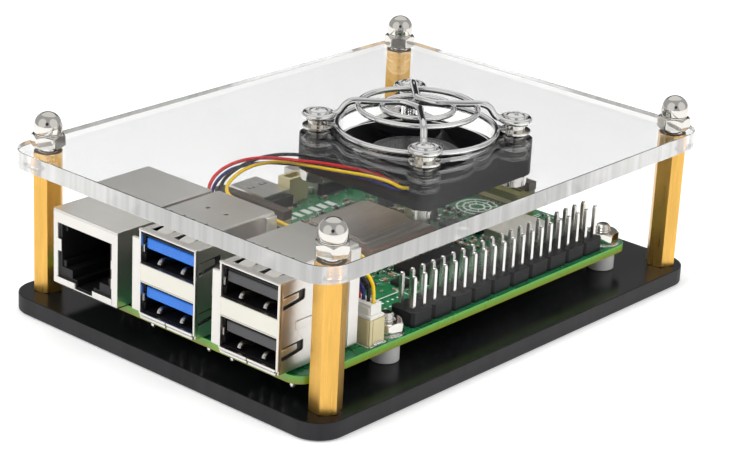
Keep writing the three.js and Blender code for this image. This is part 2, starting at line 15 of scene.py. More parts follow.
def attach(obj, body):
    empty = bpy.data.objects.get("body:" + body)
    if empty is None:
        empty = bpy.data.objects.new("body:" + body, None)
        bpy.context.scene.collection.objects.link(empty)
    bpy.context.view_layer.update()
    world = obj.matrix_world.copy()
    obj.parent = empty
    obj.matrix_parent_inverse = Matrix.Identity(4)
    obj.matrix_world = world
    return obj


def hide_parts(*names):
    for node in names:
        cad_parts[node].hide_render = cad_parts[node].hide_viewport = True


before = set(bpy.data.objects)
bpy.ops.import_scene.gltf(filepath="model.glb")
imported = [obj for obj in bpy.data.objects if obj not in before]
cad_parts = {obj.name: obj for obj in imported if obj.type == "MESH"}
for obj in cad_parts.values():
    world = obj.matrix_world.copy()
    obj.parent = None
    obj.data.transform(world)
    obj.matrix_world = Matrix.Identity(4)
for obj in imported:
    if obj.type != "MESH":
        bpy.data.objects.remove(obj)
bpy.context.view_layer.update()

MM = 0.001
# The origins of the case's frame, the board's and the fan's.
CENTRE = (0.0, 0.0, 0.0)
BOARD = (-46.2, -29.1, 7.9)
FAN = (9.6, -2.9, 25.5)

# ---------------------------------------------------------------- camera

TARGET = Vector((-15.14, -13.68, 19.48))
AZIMUTH, ELEVATION, ROLL = (math.radians(v) for v in (-49.22, 21.38, 2.83))
DISTANCE = 377.2
LENS, SENSOR = 114.19, 36.0


def make_camera():
    """Places the camera and gives the direction from the object back to it."""
    back = Vector((
        math.sin(AZIMUTH) * math.cos(ELEVATION),
        -math.cos(AZIMUTH) * math.cos(ELEVATION),
        math.sin(ELEVATION),
    ))
    right = Vector((math.cos(AZIMUTH), math.sin(AZIMUTH), 0))
    up = back.cross(right)
    side = math.cos(ROLL) * right + math.sin(ROLL) * up
    top = math.cos(ROLL) * up - math.sin(ROLL) * right
    data = bpy.data.cameras.new("camera")
    data.lens, data.sensor_width = LENS, SENSOR
    data.clip_start, data.clip_end = 0.01, 20
    camera = bpy.data.objects.new("camera", data)
    bpy.context.scene.collection.objects.link(camera)
    turn = Matrix((side, top, back)).transposed().to_4x4()
    camera.matrix_world = Matrix.Translation((TARGET + DISTANCE * back) * MM) @ turn
    bpy.context.scene.camera = camera
    return back


back_direction = make_camera()

# ---------------------------------------------------------------- materials


class Nodes:
    """Adds nodes to a material's tree and joins them."""

    def __init__(self, name):
        self.material = bpy.data.materials.new(name)
        self.material.use_nodes = True
        self.tree = self.material.node_tree
        self.shader = self.tree.nodes["Principled BSDF"]
        self.place = self.new("ShaderNodeTexCoord").outputs["Object"]

    def new(self, kind, **settings):
        node = self.tree.nodes.new(kind)
        for key, value in settings.items():
            setattr(node, key, value)
        return node

    def join(self, source, target):
        self.tree.links.new(source, target)

    def stretched(self, scale):
        node = self.new("ShaderNodeMapping")
        node.inputs["Scale"].default_value = scale
        self.join(self.place, node.inputs["Vector"])
        return node.outputs[0]

    def noise(self, scale, stretch=(1, 1, 1), detail=3.0, rough=0.55):
        node = self.new("ShaderNodeTexNoise")
        node.inputs["Scale"].default_value = scale
        node.inputs["Detail"].default_value = detail
        node.inputs["Roughness"].default_value = rough
        self.join(self.stretched(stretch), node.inputs["Vector"])
        return node.outputs["Fac"]

    def ranged(self, source, low, high, start=0.3, end=0.7):
        node = self.new("ShaderNodeMapRange")
        for key, value in zip(("From Min", "From Max", "To Min", "To Max"), (start, end, low, high)):
            node.inputs[key].default_value = value
        self.join(source, node.inputs["Value"])
        return node.outputs[0]

    def mixed(self, factor, first, second):
        node = self.new("ShaderNodeMix", data_type="RGBA")
        self.join(factor, node.inputs["Factor"])
        for value, socket in ((first, node.inputs["A"]), (second, node.inputs["B"])):
            if isinstance(value, tuple):
                socket.default_value = (*value, 1)
            else:
                self.join(value, socket)
        return node.outputs["Result"]

    def maths(self, operation, first, second):
        node = self.new("ShaderNodeMath", operation=operation)
        for value, socket in zip((first, second), node.inputs):
            if isinstance(value, (int, float)):
                socket.default_value = value
            else:
                self.join(value, socket)
        return node.outputs[0]

    def bump(self, height, strength, distance=0.0001):
        node = self.new("ShaderNodeBump")
        node.inputs["Strength"].default_value = strength
        node.inputs["Distance"].default_value = distance
        self.join(height, node.inputs["Height"])
        self.join(node.outputs[0], self.shader.inputs["Normal"])

    def upward(self):
        """How far the surface faces up or down, from 0 on a wall to 1 on a flat top."""
        node = self.new("ShaderNodeSeparateXYZ")
        self.join(self.new("ShaderNodeNewGeometry").outputs["Normal"], node.inputs[0])
        return self.maths("ABSOLUTE", node.outputs["Z"], 0.0)

    def height(self):
        node = self.new("ShaderNodeSeparateXYZ")
        self.join(self.place, node.inputs[0])
        return node.outputs["Z"]


def shades(colour, spread):
    """A darker and a lighter shade of a colour."""
    low = tuple(c * (1 - spread) for c in colour)
    high = tuple(min(1.0, c * (1 + spread)) for c in colour)
    return low, high


def surface(name, colour, rough, metal=0.0, spread=0.12, patch=260, grain=5200, relief=0.12,
            stretch=(1, 1, 1), rough_spread=0.25, **sockets):
    """A material with patches of tone, uneven gloss and a fine relief."""
    n = Nodes(name)
    n.shader.inputs["Metallic"].default_value = metal
    for key, value in sockets.items():
        n.shader.inputs[key.replace("_", " ")].default_value = value
    patches = n.noise(patch, stretch)
    fine = n.noise(grain, stretch, detail=2)
    n.join(n.mixed(n.ranged(patches, 0, 1), *shades(colour, spread)), n.shader.inputs["Base Color"])
    low, high = rough * (1 - rough_spread), min(1.0, rough * (1 + rough_spread))
    n.join(n.ranged(fine, low, high), n.shader.inputs["Roughness"])
    n.bump(fine, relief, 0.00003)
    return n.material


def black_sheet():
    """Glossy black acrylic with faint smudges; its sawn edge is greyer and duller."""
    n = Nodes("black_acrylic")
    wall = n.ranged(n.upward(), 1, 0, 0.35, 0.6)
    smudge = n.noise(55, detail=4)
    face = n.mixed(n.ranged(smudge, 0, 1), (0.004, 0.004, 0.005), (0.008, 0.008, 0.009))
    streak = n.noise(420, (1, 1, 0.1))
    edge = n.mixed(n.ranged(streak, 0, 1), (0.018, 0.018, 0.020), (0.027, 0.026, 0.029))
    n.join(n.mixed(wall, face, edge), n.shader.inputs["Base Color"])
    gloss = n.maths("ADD", n.ranged(smudge, 0.18, 0.26), n.maths("MULTIPLY", wall, 0.3))
    n.join(gloss, n.shader.inputs["Roughness"])
    n.shader.inputs["IOR"].default_value = 1.32
    n.bump(n.maths("MULTIPLY", streak, wall), 0.06, 0.00003)
    return n.material


def clear_sheet(name, rough, relief, stretch, weight, shine, glow, low):
    """Clear acrylic: low is the tone of its darkest streaks, and glow a faint painted light of its own, which
    stands in for light carried along inside the sheet.
    """
    n = Nodes(name)
    fine = n.noise(1100, stretch, detail=3)
    n.join(n.mixed(n.ranged(fine, 0, 1, 0.35, 0.65), low, (1, 1, 1)), n.shader.inputs["Base Color"])
    n.join(n.ranged(fine, rough * 0.6, rough * 1.6), n.shader.inputs["Roughness"])
    n.shader.inputs["IOR"].default_value = 1.49
    n.shader.inputs["Transmission Weight"].default_value = weight
    n.shader.inputs["Specular IOR Level"].default_value = shine
    n.shader.inputs["Emission Color"].default_value = (1.0, 0.99, 0.97, 1)
    n.shader.inputs["Emission Strength"].default_value = glow
    n.bump(fine, relief, 0.00004)
    return n.material


def circuit_green():
    """Solder mask over copper: poured areas, tracks between them, vias, and a bare laminate edge."""
    n = Nodes("green_board")
    cells = []
    for feature in ("F1", "F2"):
        node = n.new("ShaderNodeTexVoronoi", distance="MANHATTAN", feature=feature)
        node.inputs["Scale"].default_value = 330
        node.inputs["Randomness"].default_value = 0.8
        n.join(n.stretched((1, 1.6, 0.001)), node.inputs["Vector"])
        cells.append(node.outputs["Distance"])
    gap = n.maths("SUBTRACT", cells[1], cells[0])
    track = n.ranged(gap, 1, 0, 0.05, 0.1)
    vias = n.new("ShaderNodeTexVoronoi")
    vias.inputs["Scale"].default_value = 620
    n.join(n.stretched((1, 1, 0.001)), vias.inputs["Vector"])
    via = n.ranged(vias.outputs["Distance"], 1, 0, 0.12, 0.17)
    broad = n.noise(90)
    pour = n.mixed(n.ranged(broad, 0, 1), (0.010, 0.145, 0.050), (0.016, 0.200, 0.072))
    lines = n.mixed(track, pour, (0.006, 0.085, 0.032))
    top = n.mixed(n.maths("MULTIPLY", via, 0.7), lines, (0.09, 0.34, 0.15))
    wall = n.ranged(n.upward(), 1, 0, 0.3, 0.6)
    across = n.ranged(n.height(), 0, 1, 0.0066, 0.0079)
    laminate = n.mixed(across, (0.26, 0.30, 0.022), (0.11, 0.46, 0.05))
    n.join(n.mixed(wall, top, laminate), n.shader.inputs["Base Color"])
    n.join(n.ranged(broad, 0.22, 0.34), n.shader.inputs["Roughness"])
    n.shader.inputs["Coat Weight"].default_value = 0.25
    n.bump(n.ranged(gap, 0, 1, 0.04, 0.12), 0.25, 0.00004)
    return n.material


def brushed(name, colour, rough, along, relief):
    """Metal with fine lines drawn along its length."""
    n = Nodes(name)
    n.shader.inputs["Metallic"].default_value = 1
    stretch = tuple(0.035 if axis in along else 1 for axis in "xyz")
    lines = n.noise(5200, stretch, detail=4, rough=0.7)
    patches = n.noise(330, tuple(0.2 if axis in along else 1 for axis in "xyz"))
    tone = n.mixed(n.ranged(patches, 0, 1), *shades(colour, 0.10))
    n.join(n.mixed(n.ranged(lines, 0, 0.35), tone, tuple(c * 0.72 for c in colour)),
           n.shader.inputs["Base Color"])
    n.join(n.ranged(lines, rough * 0.8, rough * 1.35), n.shader.inputs["Roughness"])
    n.bump(lines, relief, 0.00003)
    return n.material


METAL = {
    "brass": brushed("brass", (0.80, 0.47, 0.115), 0.3, "z", 0.35),
    "thread": brushed("brass_thread", (0.78, 0.44, 0.13), 0.28, "", 0.1),
    "nickel": surface("nickel", (0.74, 0.72, 0.68), 0.09, 1, spread=0.03, patch=120,
                      relief=0.0, rough_spread=0.1),
    "chrome": surface("chrome", (0.84, 0.84, 0.84), 0.045, 1, spread=0.02, patch=120,
                      relief=0.0, rough_spread=0.1),
    "steel": surface("socket_steel", (0.72, 0.70, 0.665), 0.3, 1, spread=0.03, patch=120,
                     relief=0.0, rough_spread=0.06),
    "plate": surface("plated_strip", (0.72, 0.70, 0.63), 0.34, 1, spread=0.02, patch=120,
                     relief=0.0, rough_spread=0.06),
    "lid": brushed("lid_metal", (0.56, 0.50, 0.44), 0.36, "x", 0.12),
    "pin": brushed("pin_metal", (0.86, 0.85, 0.83), 0.2, "z", 0.15),
    "gold": surface("gold_contact", (0.84, 0.58, 0.22), 0.25, 1, relief=0.08),
    "solder": surface("solder", (0.78, 0.78, 0.76), 0.25, 1, patch=900, relief=0.3),
}
PLASTIC = {
    "nylon": surface("nylon", (0.60, 0.60, 0.59), 0.42, spread=0.06),
    "black": surface("black_plastic", (0.009, 0.009, 0.010), 0.38, spread=0.25, relief=0.22,
                     Specular_IOR_Level=0.28),
    # This near-black serves the sockets' plastic cores and also painted shade in the slots on the edge
    # sockets' steel tops.
    "dark": surface("dark_core_and_slot_shade", (0.006, 0.006, 0.008), 0.4, spread=0.3, relief=0.15),
    "blue": surface("blue_plastic", (0.012, 0.165, 0.66), 0.3, spread=0.1, relief=0.12),
    "grey": surface("grey_plastic", (0.050, 0.050, 0.054), 0.33, spread=0.12, relief=0.12),
    "cream": surface("cream_plastic", (0.66, 0.58, 0.34), 0.4, spread=0.07, relief=0.15),
    "white": surface("white_plastic", (0.80, 0.79, 0.74), 0.42, spread=0.04, relief=0.12),
    "brown": surface("brown_plastic", (0.060, 0.042, 0.030), 0.38, spread=0.15, relief=0.15),
    "olive": surface("olive_cover", (0.20, 0.185, 0.045), 0.35, spread=0.12, relief=0.15),
    "fan": surface("fan_plastic", (0.010, 0.010, 0.012), 0.36, spread=0.15, grain=3800, relief=0.2,
                   Specular_IOR_Level=0.35),
    "laminate": surface("package_base", (0.17, 0.075, 0.028), 0.4, spread=0.15, relief=0.2),
    "chip": surface("chip_black", (0.012, 0.012, 0.013), 0.4, spread=0.2, relief=0.25),
    "ink": surface("silkscreen", (0.82, 0.84, 0.80), 0.5, spread=0.05, relief=0.2),
    "ceramic": surface("ceramic", (0.33, 0.21, 0.12), 0.4, spread=0.15, relief=0.15),
    "card": surface("card_grey", (0.08, 0.08, 0.085), 0.4, relief=0.15),
    "green_lamp": surface("lamp_green", (0.045, 0.16, 0.085), 0.2, spread=0.2, Coat_Weight=0.6),
    "yellow_lamp": surface("lamp_yellow", (0.30, 0.23, 0.045), 0.2, spread=0.2, Coat_Weight=0.6),
    "label": surface("label", (0.030, 0.030, 0.032), 0.28, spread=0.1, relief=0.1),
}
WIRE = {
    "yellow": surface("yellow_wire", (0.86, 0.56, 0.004), 0.3, spread=0.06, relief=0.1),
    "black": surface("black_wire", (0.012, 0.012, 0.014), 0.3, spread=0.2, relief=0.1),
    "blue": surface("blue_wire", (0.022, 0.022, 0.18), 0.3, spread=0.12, relief=0.1),
    "red": surface("red_wire", (0.58, 0.010, 0.014), 0.3, spread=0.08, relief=0.1),
}
BLACK_SHEET = black_sheet()
CLEAR_FACE = clear_sheet("clear_acrylic", 0.012, 0.03, (0.2, 0.2, 0.2), 1.0, 0.12, 0.0,
                         (0.97, 0.985, 0.985))
# The edge's emission of 0.17 is painted light: a faint glow that brightens the sawn edge, standing in for
# light carried along inside the sheet.
CLEAR_EDGE = clear_sheet("clear_acrylic_edge", 0.1, 0.06, (0.7, 0.7, 0.01), 0.66, 0.5, 0.17,
                         (0.72, 0.72, 0.70))
GREEN = circuit_green()

# ---------------------------------------------------------------- mesh building


def dressed(bm):
    """A bmesh's points and faces as lists, with its faces outward, and frees it."""
    bmesh.ops.recalc_face_normals(bm, faces=bm.faces[:])
    bm.verts.index_update()
    found = ([v.co.copy() for v in bm.verts], [[v.index for v in f.verts] for f in bm.faces])
    bm.free()
    return found


def turned_outward(points, faces):
    """A closed form from points and faces, with its faces made to look outward."""
    bm = bmesh.new()
    made = [bm.verts.new(p) for p in points]
    for face in faces:
        bm.faces.new([made[i] for i in face])
    return dressed(bm)


def block(x, y, z, bevel=0.0, segments=2):
    """A box between pairs of coordinates, with its edges rounded."""
    bm = bmesh.new()
    size = [max(a[1] - a[0], 1e-4) for a in (x, y, z)]
    middle = Vector([(a[0] + a[1]) / 2 for a in (x, y, z)])
    bmesh.ops.create_cube(bm, size=1, matrix=Matrix.Translation(middle) @ Matrix.Diagonal((*size, 1)))
    if bevel:
        bmesh.ops.bevel(bm, geom=bm.edges[:], offset=min(bevel, 0.45 * min(size)), segments=segments,
                        profile=0.5, affect="EDGES")
    return dressed(bm)


def polar(rows, columns=48, hollow=False):
    """A round form from rows of (z, radius). A radius may be a function of the angle."""
    points, faces = [], []
    for z, radius in rows:
        for c in range(columns):
            a = 2 * math.pi * c / columns
            r = radius(a) if callable(radius) else radius
            points.append((r * math.cos(a), r * math.sin(a), z))
    count = len(rows)
    for k in range(count if hollow else count - 1):
        low, high = k * columns, (k + 1) % count * columns
        for c in range(columns):
            d = (c + 1) % columns
            faces.append([low + c, low + d, high + d, high + c])
    if not hollow:
        faces.append(list(range(columns))[::-1])
        faces.append(list(range((count - 1) * columns, count * columns)))
    return points, faces


def smooth_path(points, per=8):
    """Points along the centripetal Catmull-Rom curve through the given ones."""
    p = [Vector(v) for v in points]
    p = [2 * p[0] - p[1], *p, 2 * p[-1] - p[-2]]
    out = []
    for i in range(1, len(p) - 2):
        four = p[i - 1:i + 3]
        t = [0.0]
        for a, b in zip(four, four[1:]):
            t.append(t[-1] + math.sqrt((b - a).length))
        for k in range(per):
            u = t[1] + (t[2] - t[1]) * k / per
            level = four
            for width in (1, 2, 3):
                level = [
                    ((t[j + width] - u) * level[j] + (u - t[j]) * level[j + 1]) / (t[j + width] - t[j])
                    if width < 3 else
                    ((t[2] - u) * level[0] + (u - t[1]) * level[1]) / (t[2] - t[1])
                    for j in range(len(level) - 1)
                ]
            out.append(level[0])
    return out + [p[-2]]


def tube(path, radius, sides=12, closed=False):
    """A round bar along a path."""
    p = [Vector(v) for v in path]
    n = len(p)
    ahead = [(p[(i + 1) % n] - p[i - 1]) if closed or 0 < i < n - 1
             else (p[1] - p[0] if i == 0 else p[-1] - p[-2]) for i in range(n)]
    ahead = [v.normalized() for v in ahead]
    side = ahead[0].orthogonal().normalized()
    points, faces = [], []
    for i in range(n):
        side = (side - side.dot(ahead[i]) * ahead[i]).normalized()
        other = ahead[i].cross(side)
        for c in range(sides):
            a = 2 * math.pi * c / sides
            points.append(p[i] + radius * (math.cos(a) * side + math.sin(a) * other))
    for i in range(n if closed else n - 1):
        low, high = i * sides, (i + 1) % n * sides
        faces += [[low + c, low + (c + 1) % sides, high + (c + 1) % sides, high + c] for c in range(sides)]
    if not closed:
        faces += [list(range(sides))[::-1], list(range((n - 1) * sides, n * sides))]
    return points, faces


def circle(x, y, r, count=40):
    """A circle's outline."""
    return [(x + r * math.cos(2 * math.pi * i / count), y + r * math.sin(2 * math.pi * i / count))
            for i in range(count)]


def rounded(corners, radius, count=5):
    """A polygon's outline with its corners rounded."""
    out = []
    n = len(corners)
    for i, corner in enumerate(corners):
        c = Vector(corner)
        a, b = (Vector(corners[i - 1]) - c), (Vector(corners[(i + 1) % n]) - c)
        reach = min(radius, 0.45 * a.length, 0.45 * b.length)
        a, b = a.normalized() * reach, b.normalized() * reach
        for k in range(count + 1):
            t = k / count
            out.append(tuple(c + a * (1 - t) ** 2 + b * t ** 2))
    return out


def rectangle(x, y, radius=0.0, count=6):
    """A rectangle's outline, with its corners rounded when a radius is given."""
    corners = [(x[0], y[0]), (x[1], y[0]), (x[1], y[1]), (x[0], y[1])]
    if not radius:
        return corners
    out = []
    for (cx, cy), start in zip(corners, (180, 270, 0, 90)):
        mx = cx + (radius if cx == x[0] else -radius)
        my = cy + (radius if cy == y[0] else -radius)
        for k in range(count + 1):
            a = math.radians(start + 90 * k / count)
            out.append((mx + radius * math.cos(a), my + radius * math.sin(a)))
    return out


def sheet_form(outer, holes, z, bevel=0.0, resolution=1):
    """A flat plate between two heights, with holes and rounded rims."""
    curve = bpy.data.curves.new("outline", "CURVE")
    curve.dimensions, curve.fill_mode = "2D", "BOTH"
    curve.extrude, curve.bevel_depth = (z[1] - z[0]) / 2 - bevel, bevel
    curve.bevel_resolution, curve.offset = resolution, -bevel
    for loop in [outer, *[h[::-1] for h in holes]]:
        spline = curve.splines.new("POLY")
        spline.points.add(len(loop) - 1)
        for point, (x, y) in zip(spline.points, loop):
            point.co = (x, y, 0, 1)
        spline.use_cyclic_u = True
    made = bpy.data.objects.new("outline", curve)
    mesh = bpy.data.meshes.new_from_object(made)
    bm = bmesh.new()
    bm.from_mesh(mesh)
    bpy.data.objects.remove(made)
    bpy.data.curves.remove(curve)
    bpy.data.meshes.remove(mesh)
    bmesh.ops.translate(bm, verts=bm.verts[:], vec=(0, 0, (z[0] + z[1]) / 2))
    bmesh.ops.remove_doubles(bm, verts=bm.verts[:], dist=0.001)
    return dressed(bm)


class Form:
    """One mesh put together from parts in a frame of its own."""

    def __init__(self, origin=CENTRE):
        self.origin = Vector(origin)
        self.points, self.faces, self.kinds = [], [], []

    def add(self, part, kind=0, at=(0, 0, 0), turn=None):
        points, faces = part
        base = len(self.points)
        move = Vector(at) + self.origin
        for p in points:
            v = Vector(p)
            self.points.append((turn @ v if turn else v) + move)
        self.faces += [[i + base for i in f] for f in faces]
        self.kinds += [kind] * len(faces)

    def make(self, name, materials, body="case", slot=None, replaces=(), sharp=32, flat_tops=False):
        mesh = bpy.data.meshes.new(name)
        mesh.from_pydata([p * MM for p in self.points], [], self.faces)
        for m in materials if isinstance(materials, list) else [materials]:
            mesh.materials.append(m)
        mesh.polygons.foreach_set("material_index", self.kinds)
        mesh.polygons.foreach_set("use_smooth", [True] * len(mesh.polygons))
        mesh.update()
        mesh.set_sharp_from_angle(angle=math.radians(sharp))
        if flat_tops:
            level = [abs(face.normal.z) < 0.999 for face in mesh.polygons]
            mesh.polygons.foreach_set("use_smooth", level)
        made = bpy.data.objects.new(name, mesh)
        weighted = made.modifiers.new("weighted", "WEIGHTED_NORMAL")
        weighted.keep_sharp, weighted.weight = True, 80
        bpy.context.scene.collection.objects.link(made)
        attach(made, body)
        if replaces:
            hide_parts(*replaces)
        return made


def facing(x_axis, y_axis):
    """The axes of a panel that stands up: its own x and y, then its outward direction."""
    x, y = Vector(x_axis), Vector(y_axis)
    return Matrix((x, y, x.cross(y))).transposed()


FACE_MINUS_Y = facing((1, 0, 0), (0, 0, 1))
FACE_MINUS_X = facing((0, -1, 0), (0, 0, 1))
FACE_PLUS_Y = facing((-1, 0, 0), (0, 0, 1))

# ---------------------------------------------------------------- the fan's four wires

WIRE_DIAMETER = 0.6
WIRE_ROUTES = {
    "yellow": [
        (41.4, 15.3, 14.3), (40.4, 16, 14.5), (39.8, 17.9, 15), (38.91, 21.09, 15.3),
        (36.66, 26.95, 15.3), (34.8, 32.6, 15.2), (33.4, 36.2, 15.1), (31.6, 38.1, 14.9),
        (28.9, 39.4, 14.5), (25.6, 39.5, 13.8), (22.9, 39, 12.7), (21.5, 37.4, 12),
        (21.2, 34, 11.6), (20.5, 26, 11.1), (20.1, 18, 11), (19.5, 11, 11.3),
        (18.9, 6.2, 11.6), (18.5, 3.8, 11.1), (18.3, 2.3, 9.8), (18.3, 2, 8.2), (18.3, 2, 6.3),
    ],
    "black": [
        (41.4, 17.1, 15.45), (40.3, 17.9, 15.8), (39.7, 20.4, 16.3), (38.41, 24.09, 16.6),
        (36.95, 28.85, 16.7), (35.1, 33.9, 16.55), (33.4, 37, 16.2), (31.4, 39.4, 15.5),
        (28.6, 40.4, 14.8), (25.5, 40.3, 14.2), (22.9, 39.9, 13.3), (21.2, 39.2, 11.8),
        (20.6, 34, 10.9), (20, 26, 10.3), (19.7, 18, 10.1), (19.2, 11, 10.4),
        (18.7, 6.8, 10.6), (18.4, 4.5, 10.1), (18.3, 3.2, 9), (18.3, 3, 7.6), (18.3, 3, 6.3),
    ],
    "blue": [
        (41.4, 16.3, 14), (40.3, 17.1, 13.9), (39.65, 19.9, 14.3), (38.86, 22.99, 14.65),
        (37.15, 28.25, 14.8), (35.7, 33, 14.7), (34.6, 36.6, 14.4), (32.5, 39.7, 14.2),
        (29.6, 41.4, 14), (26.2, 41.9, 13.7), (22.8, 41.5, 12.6), (20.7, 40.3, 11.2),
        (20, 37.6, 10.4), (19.8, 34, 10.1), (19.5, 26, 9.4), (19.3, 18, 9.2),
        (18.9, 11, 9.4), (18.6, 7.2, 9.6), (18.4, 5.3, 9.2), (18.3, 4.2, 8.2), (18.3, 4, 6.3),
    ],
    "red": [
        (41.4, 17.5, 14.6), (40.4, 18.6, 15), (40, 21.2, 15.55), (38.11, 25.09, 15.9),
        (35.95, 29.55, 16.05), (33.9, 33.8, 15.9), (32, 36.9, 15.9), (29.3, 39.4, 15.8),
        (26.6, 40.9, 15.3), (24, 41.4, 14.6), (21.7, 41.2, 13.6), (20, 40.4, 12.3),
        (19.2, 38, 11), (19, 34, 9.8), (19, 26, 8.6), (18.9, 18, 8.3),
        (18.7, 11, 8.5), (18.5, 7.6, 8.6), (18.3, 5.8, 8.2), (18.3, 5, 7.3), (18.3, 5, 6.3),
    ],
}


def make_wires():
    """The fan's four wires, each along its own route from the fan to the plug."""
    for colour, route in WIRE_ROUTES.items():
        line = [(p + Vector(BOARD)) * MM for p in smooth_path(route)]
        data = bpy.data.curves.new(f"wire_{colour}", "CURVE")
        data.dimensions = "3D"
        data.bevel_depth, data.bevel_resolution, data.use_fill_caps = WIRE_DIAMETER / 2 * MM, 4, True
        spline = data.splines.new("POLY")
        spline.points.add(len(line) - 1)
        for point, place in zip(spline.points, line):
            point.co = (*place, 1)
        spline.use_smooth = True
        data.materials.append(WIRE[colour])
        made = bpy.data.objects.new(f"wire_{colour}", data)
        bpy.context.scene.collection.objects.link(made)
        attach(made, "case")
        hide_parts(f"fan_wire_{colour}")


make_wires()

# ---------------------------------------------------------------- plates, posts and nuts

PLATE_X, PLATE_Y, PLATE_T, PLATE_CORNER = 49.1, 36.0, 3.0, 5.0
COVER_Z = 25.5
POSTS = [(-43.35, -31.8), (44.95, -31.8), (44.95, 31.8), (-43.35, 31.8)]
POST_TURNS = [52, 11, 11, 14]
POST_ACROSS, CAP_ACROSS, DOME, BOARD_NUT_ACROSS, FAN_NUT_ACROSS = 4.6, 5.1, 2.4, 5.0, 4.9
BOARD_HOLES = [(x, y) for x in (23.5, 81.5) for y in (3.5, 52.5)]
FAN_HOLES = [(-12, -12), (12, -12), (12, 12), (-12, 12)]
PLATE_OUTLINE = rectangle((-PLATE_X, PLATE_X), (-PLATE_Y, PLATE_Y), PLATE_CORNER, 16)


def walls_apart(form):
    """Gives the faces round the plate's outside edge the form's second material."""
    for i, face in enumerate(form.faces):
        a, b, c = (form.points[k] for k in face[:3])
        normal = (b - a).cross(c - b)
        outside = abs(a.x) > PLATE_X - PLATE_CORNER or abs(a.y) > PLATE_Y - PLATE_CORNER
        drilled = any(math.hypot(a.x - x, a.y - y) < 1.8 for x, y in POSTS)
        if normal.length and abs(normal.normalized().z) < 0.6 and outside and not drilled:
            form.kinds[i] = 1


def hexed(across, turn=0.0):
    """The radius of a hexagon by angle; its turn is the way one of its flats faces."""
    def radius(a):
        within = (a - math.radians(turn) + math.pi / 6) % (math.pi / 3) - math.pi / 6
        return across / 2 / math.cos(within)
    return radius


def chamfered(across, z, rise=0.35, turn=0.0, lower=True, steps=5):
    """Rows of a hexagonal bar whose ends are turned to a cone, as nuts are."""
    flat = hexed(across, turn)
    reach = across / 2 * (2 / math.sqrt(3) - 1)
    rows = []
    ends = [(k / steps, z[1] - rise * (1 - k / steps)) for k in range(steps + 1)]
    if lower:
        rows += [(z[0] + rise * k / steps, (lambda a, k=k: min(flat(a), across / 2 + reach * k / steps)))
                 for k in range(steps + 1)]
    else:
        rows.append((z[0], flat))
    rows += [(h, (lambda a, s=s: min(flat(a), across / 2 + reach * (1 - s)))) for s, h in ends]
    return rows


def thread(radius, depth, pitch, z, per=8):
    """Rows of a screw's thread; it tapers away at its upper end."""
    rows = []
    steps = max(2, round((z[1] - z[0]) / pitch * per))
    for k in range(steps + 1):
        h = z[0] + (z[1] - z[0]) * k / steps

        def wall(a, h=h):
            wave = abs(2 * ((h / pitch - a / (2 * math.pi)) % 1) - 1)
            return radius - depth * wave
        rows.append((h, wall))
    rows.append((z[1] + 0.25, radius - depth - 0.25))
    return rows


def make_plates():
    """The black base and the clear cover, with their holes."""
    countersinks = [(x, y, 1.4) for x, y in POSTS]
    countersinks += [(x + BOARD[0], y + BOARD[1], 1.35) for x, y in BOARD_HOLES]
    base = Form()
    base.add(sheet_form(PLATE_OUTLINE, [circle(x, y, r) for x, y, r in countersinks], (0, PLATE_T), 0.18, 2))
    base.make("acrylic_base", BLACK_SHEET, slot="black_acrylic", replaces=["base_plate"], flat_tops=True)
    holes = [circle(x, y, 1.42) for x, y in POSTS]
    holes += [circle(x + FAN[0], y + FAN[1], 1.6) for x, y in FAN_HOLES]
    holes.append(circle(FAN[0], FAN[1], 13.5, 96))
    cover = Form()
    cover.add(sheet_form(PLATE_OUTLINE, holes, (COVER_Z, COVER_Z + PLATE_T), 0.16, 1))
    walls_apart(cover)
    made = cover.make("acrylic_cover", [CLEAR_FACE, CLEAR_EDGE], slot="clear_acrylic", replaces=["top_plate"],
                      flat_tops=True)
    made.visible_shadow = False


def make_posts():
    """The brass posts, the cap nuts on them and the screws below."""
    for i, ((x, y), turn) in enumerate(zip(POSTS, POST_TURNS), 1):
        post = Form((x, y, PLATE_T))
        rows = chamfered(POST_ACROSS, (0, COVER_Z - PLATE_T), rise=0.12, turn=turn, steps=3)
        post.add(polar(rows, 96))
        post.add(polar(thread(1.3, 0.16, 0.5, (22.3, 28.1)), 40), 1)
        post.make(f"brass_post_{i}", [METAL["brass"], METAL["thread"]], slot="brass",
                  replaces=[f"standoff_{i}"])
        nut = Form((x, y, COVER_Z + PLATE_T))
        rows = chamfered(CAP_ACROSS, (0.02, 2.1), rise=0.3, turn=turn + 24)
        rows += [(2.12, 2.42), (2.04, 2.3), (2.06, 2.18), (2.25, 2.16), (2.42, 2.3), (2.55, 2.38),
                 (3.45, DOME)]
        rows += [(3.45 + DOME * math.sin(a), max(DOME * math.cos(a), 0.01))
                 for a in (math.pi / 2 * k / 14 for k in range(1, 15))]
        nut.add(polar(rows, 96))
        nut.make(f"cap_nut_{i}", METAL["nickel"], slot="nickel", replaces=[f"acorn_nut_{i}"])
        screw = Form((x, y, 0))
        screw.add(polar(recessed_rows(), 48))
        screw.add(thread_under())
        screw.make(f"post_screw_{i}", METAL["nickel"], slot="nickel", sharp=40)


def recessed_rows():
    """A countersunk head, flush with the plate's underside, with its driver socket."""
    def cross(outer, inner):
        return lambda a: inner + (outer - inner) * max(0.0, math.cos(4 * a)) ** 3
    return [
        (0.75, cross(0.8, 0.3)), (0.03, cross(1.15, 0.4)), (0.03, 1.2), (0.03, 2.3), (0.1, 2.38),
        (1.05, 1.3), (1.1, 1.22),
    ]


def thread_under():
    """The threaded shaft above a countersunk head."""
    return polar(thread(1.2, 0.14, 0.5, (1.05, 9.8)), 32)


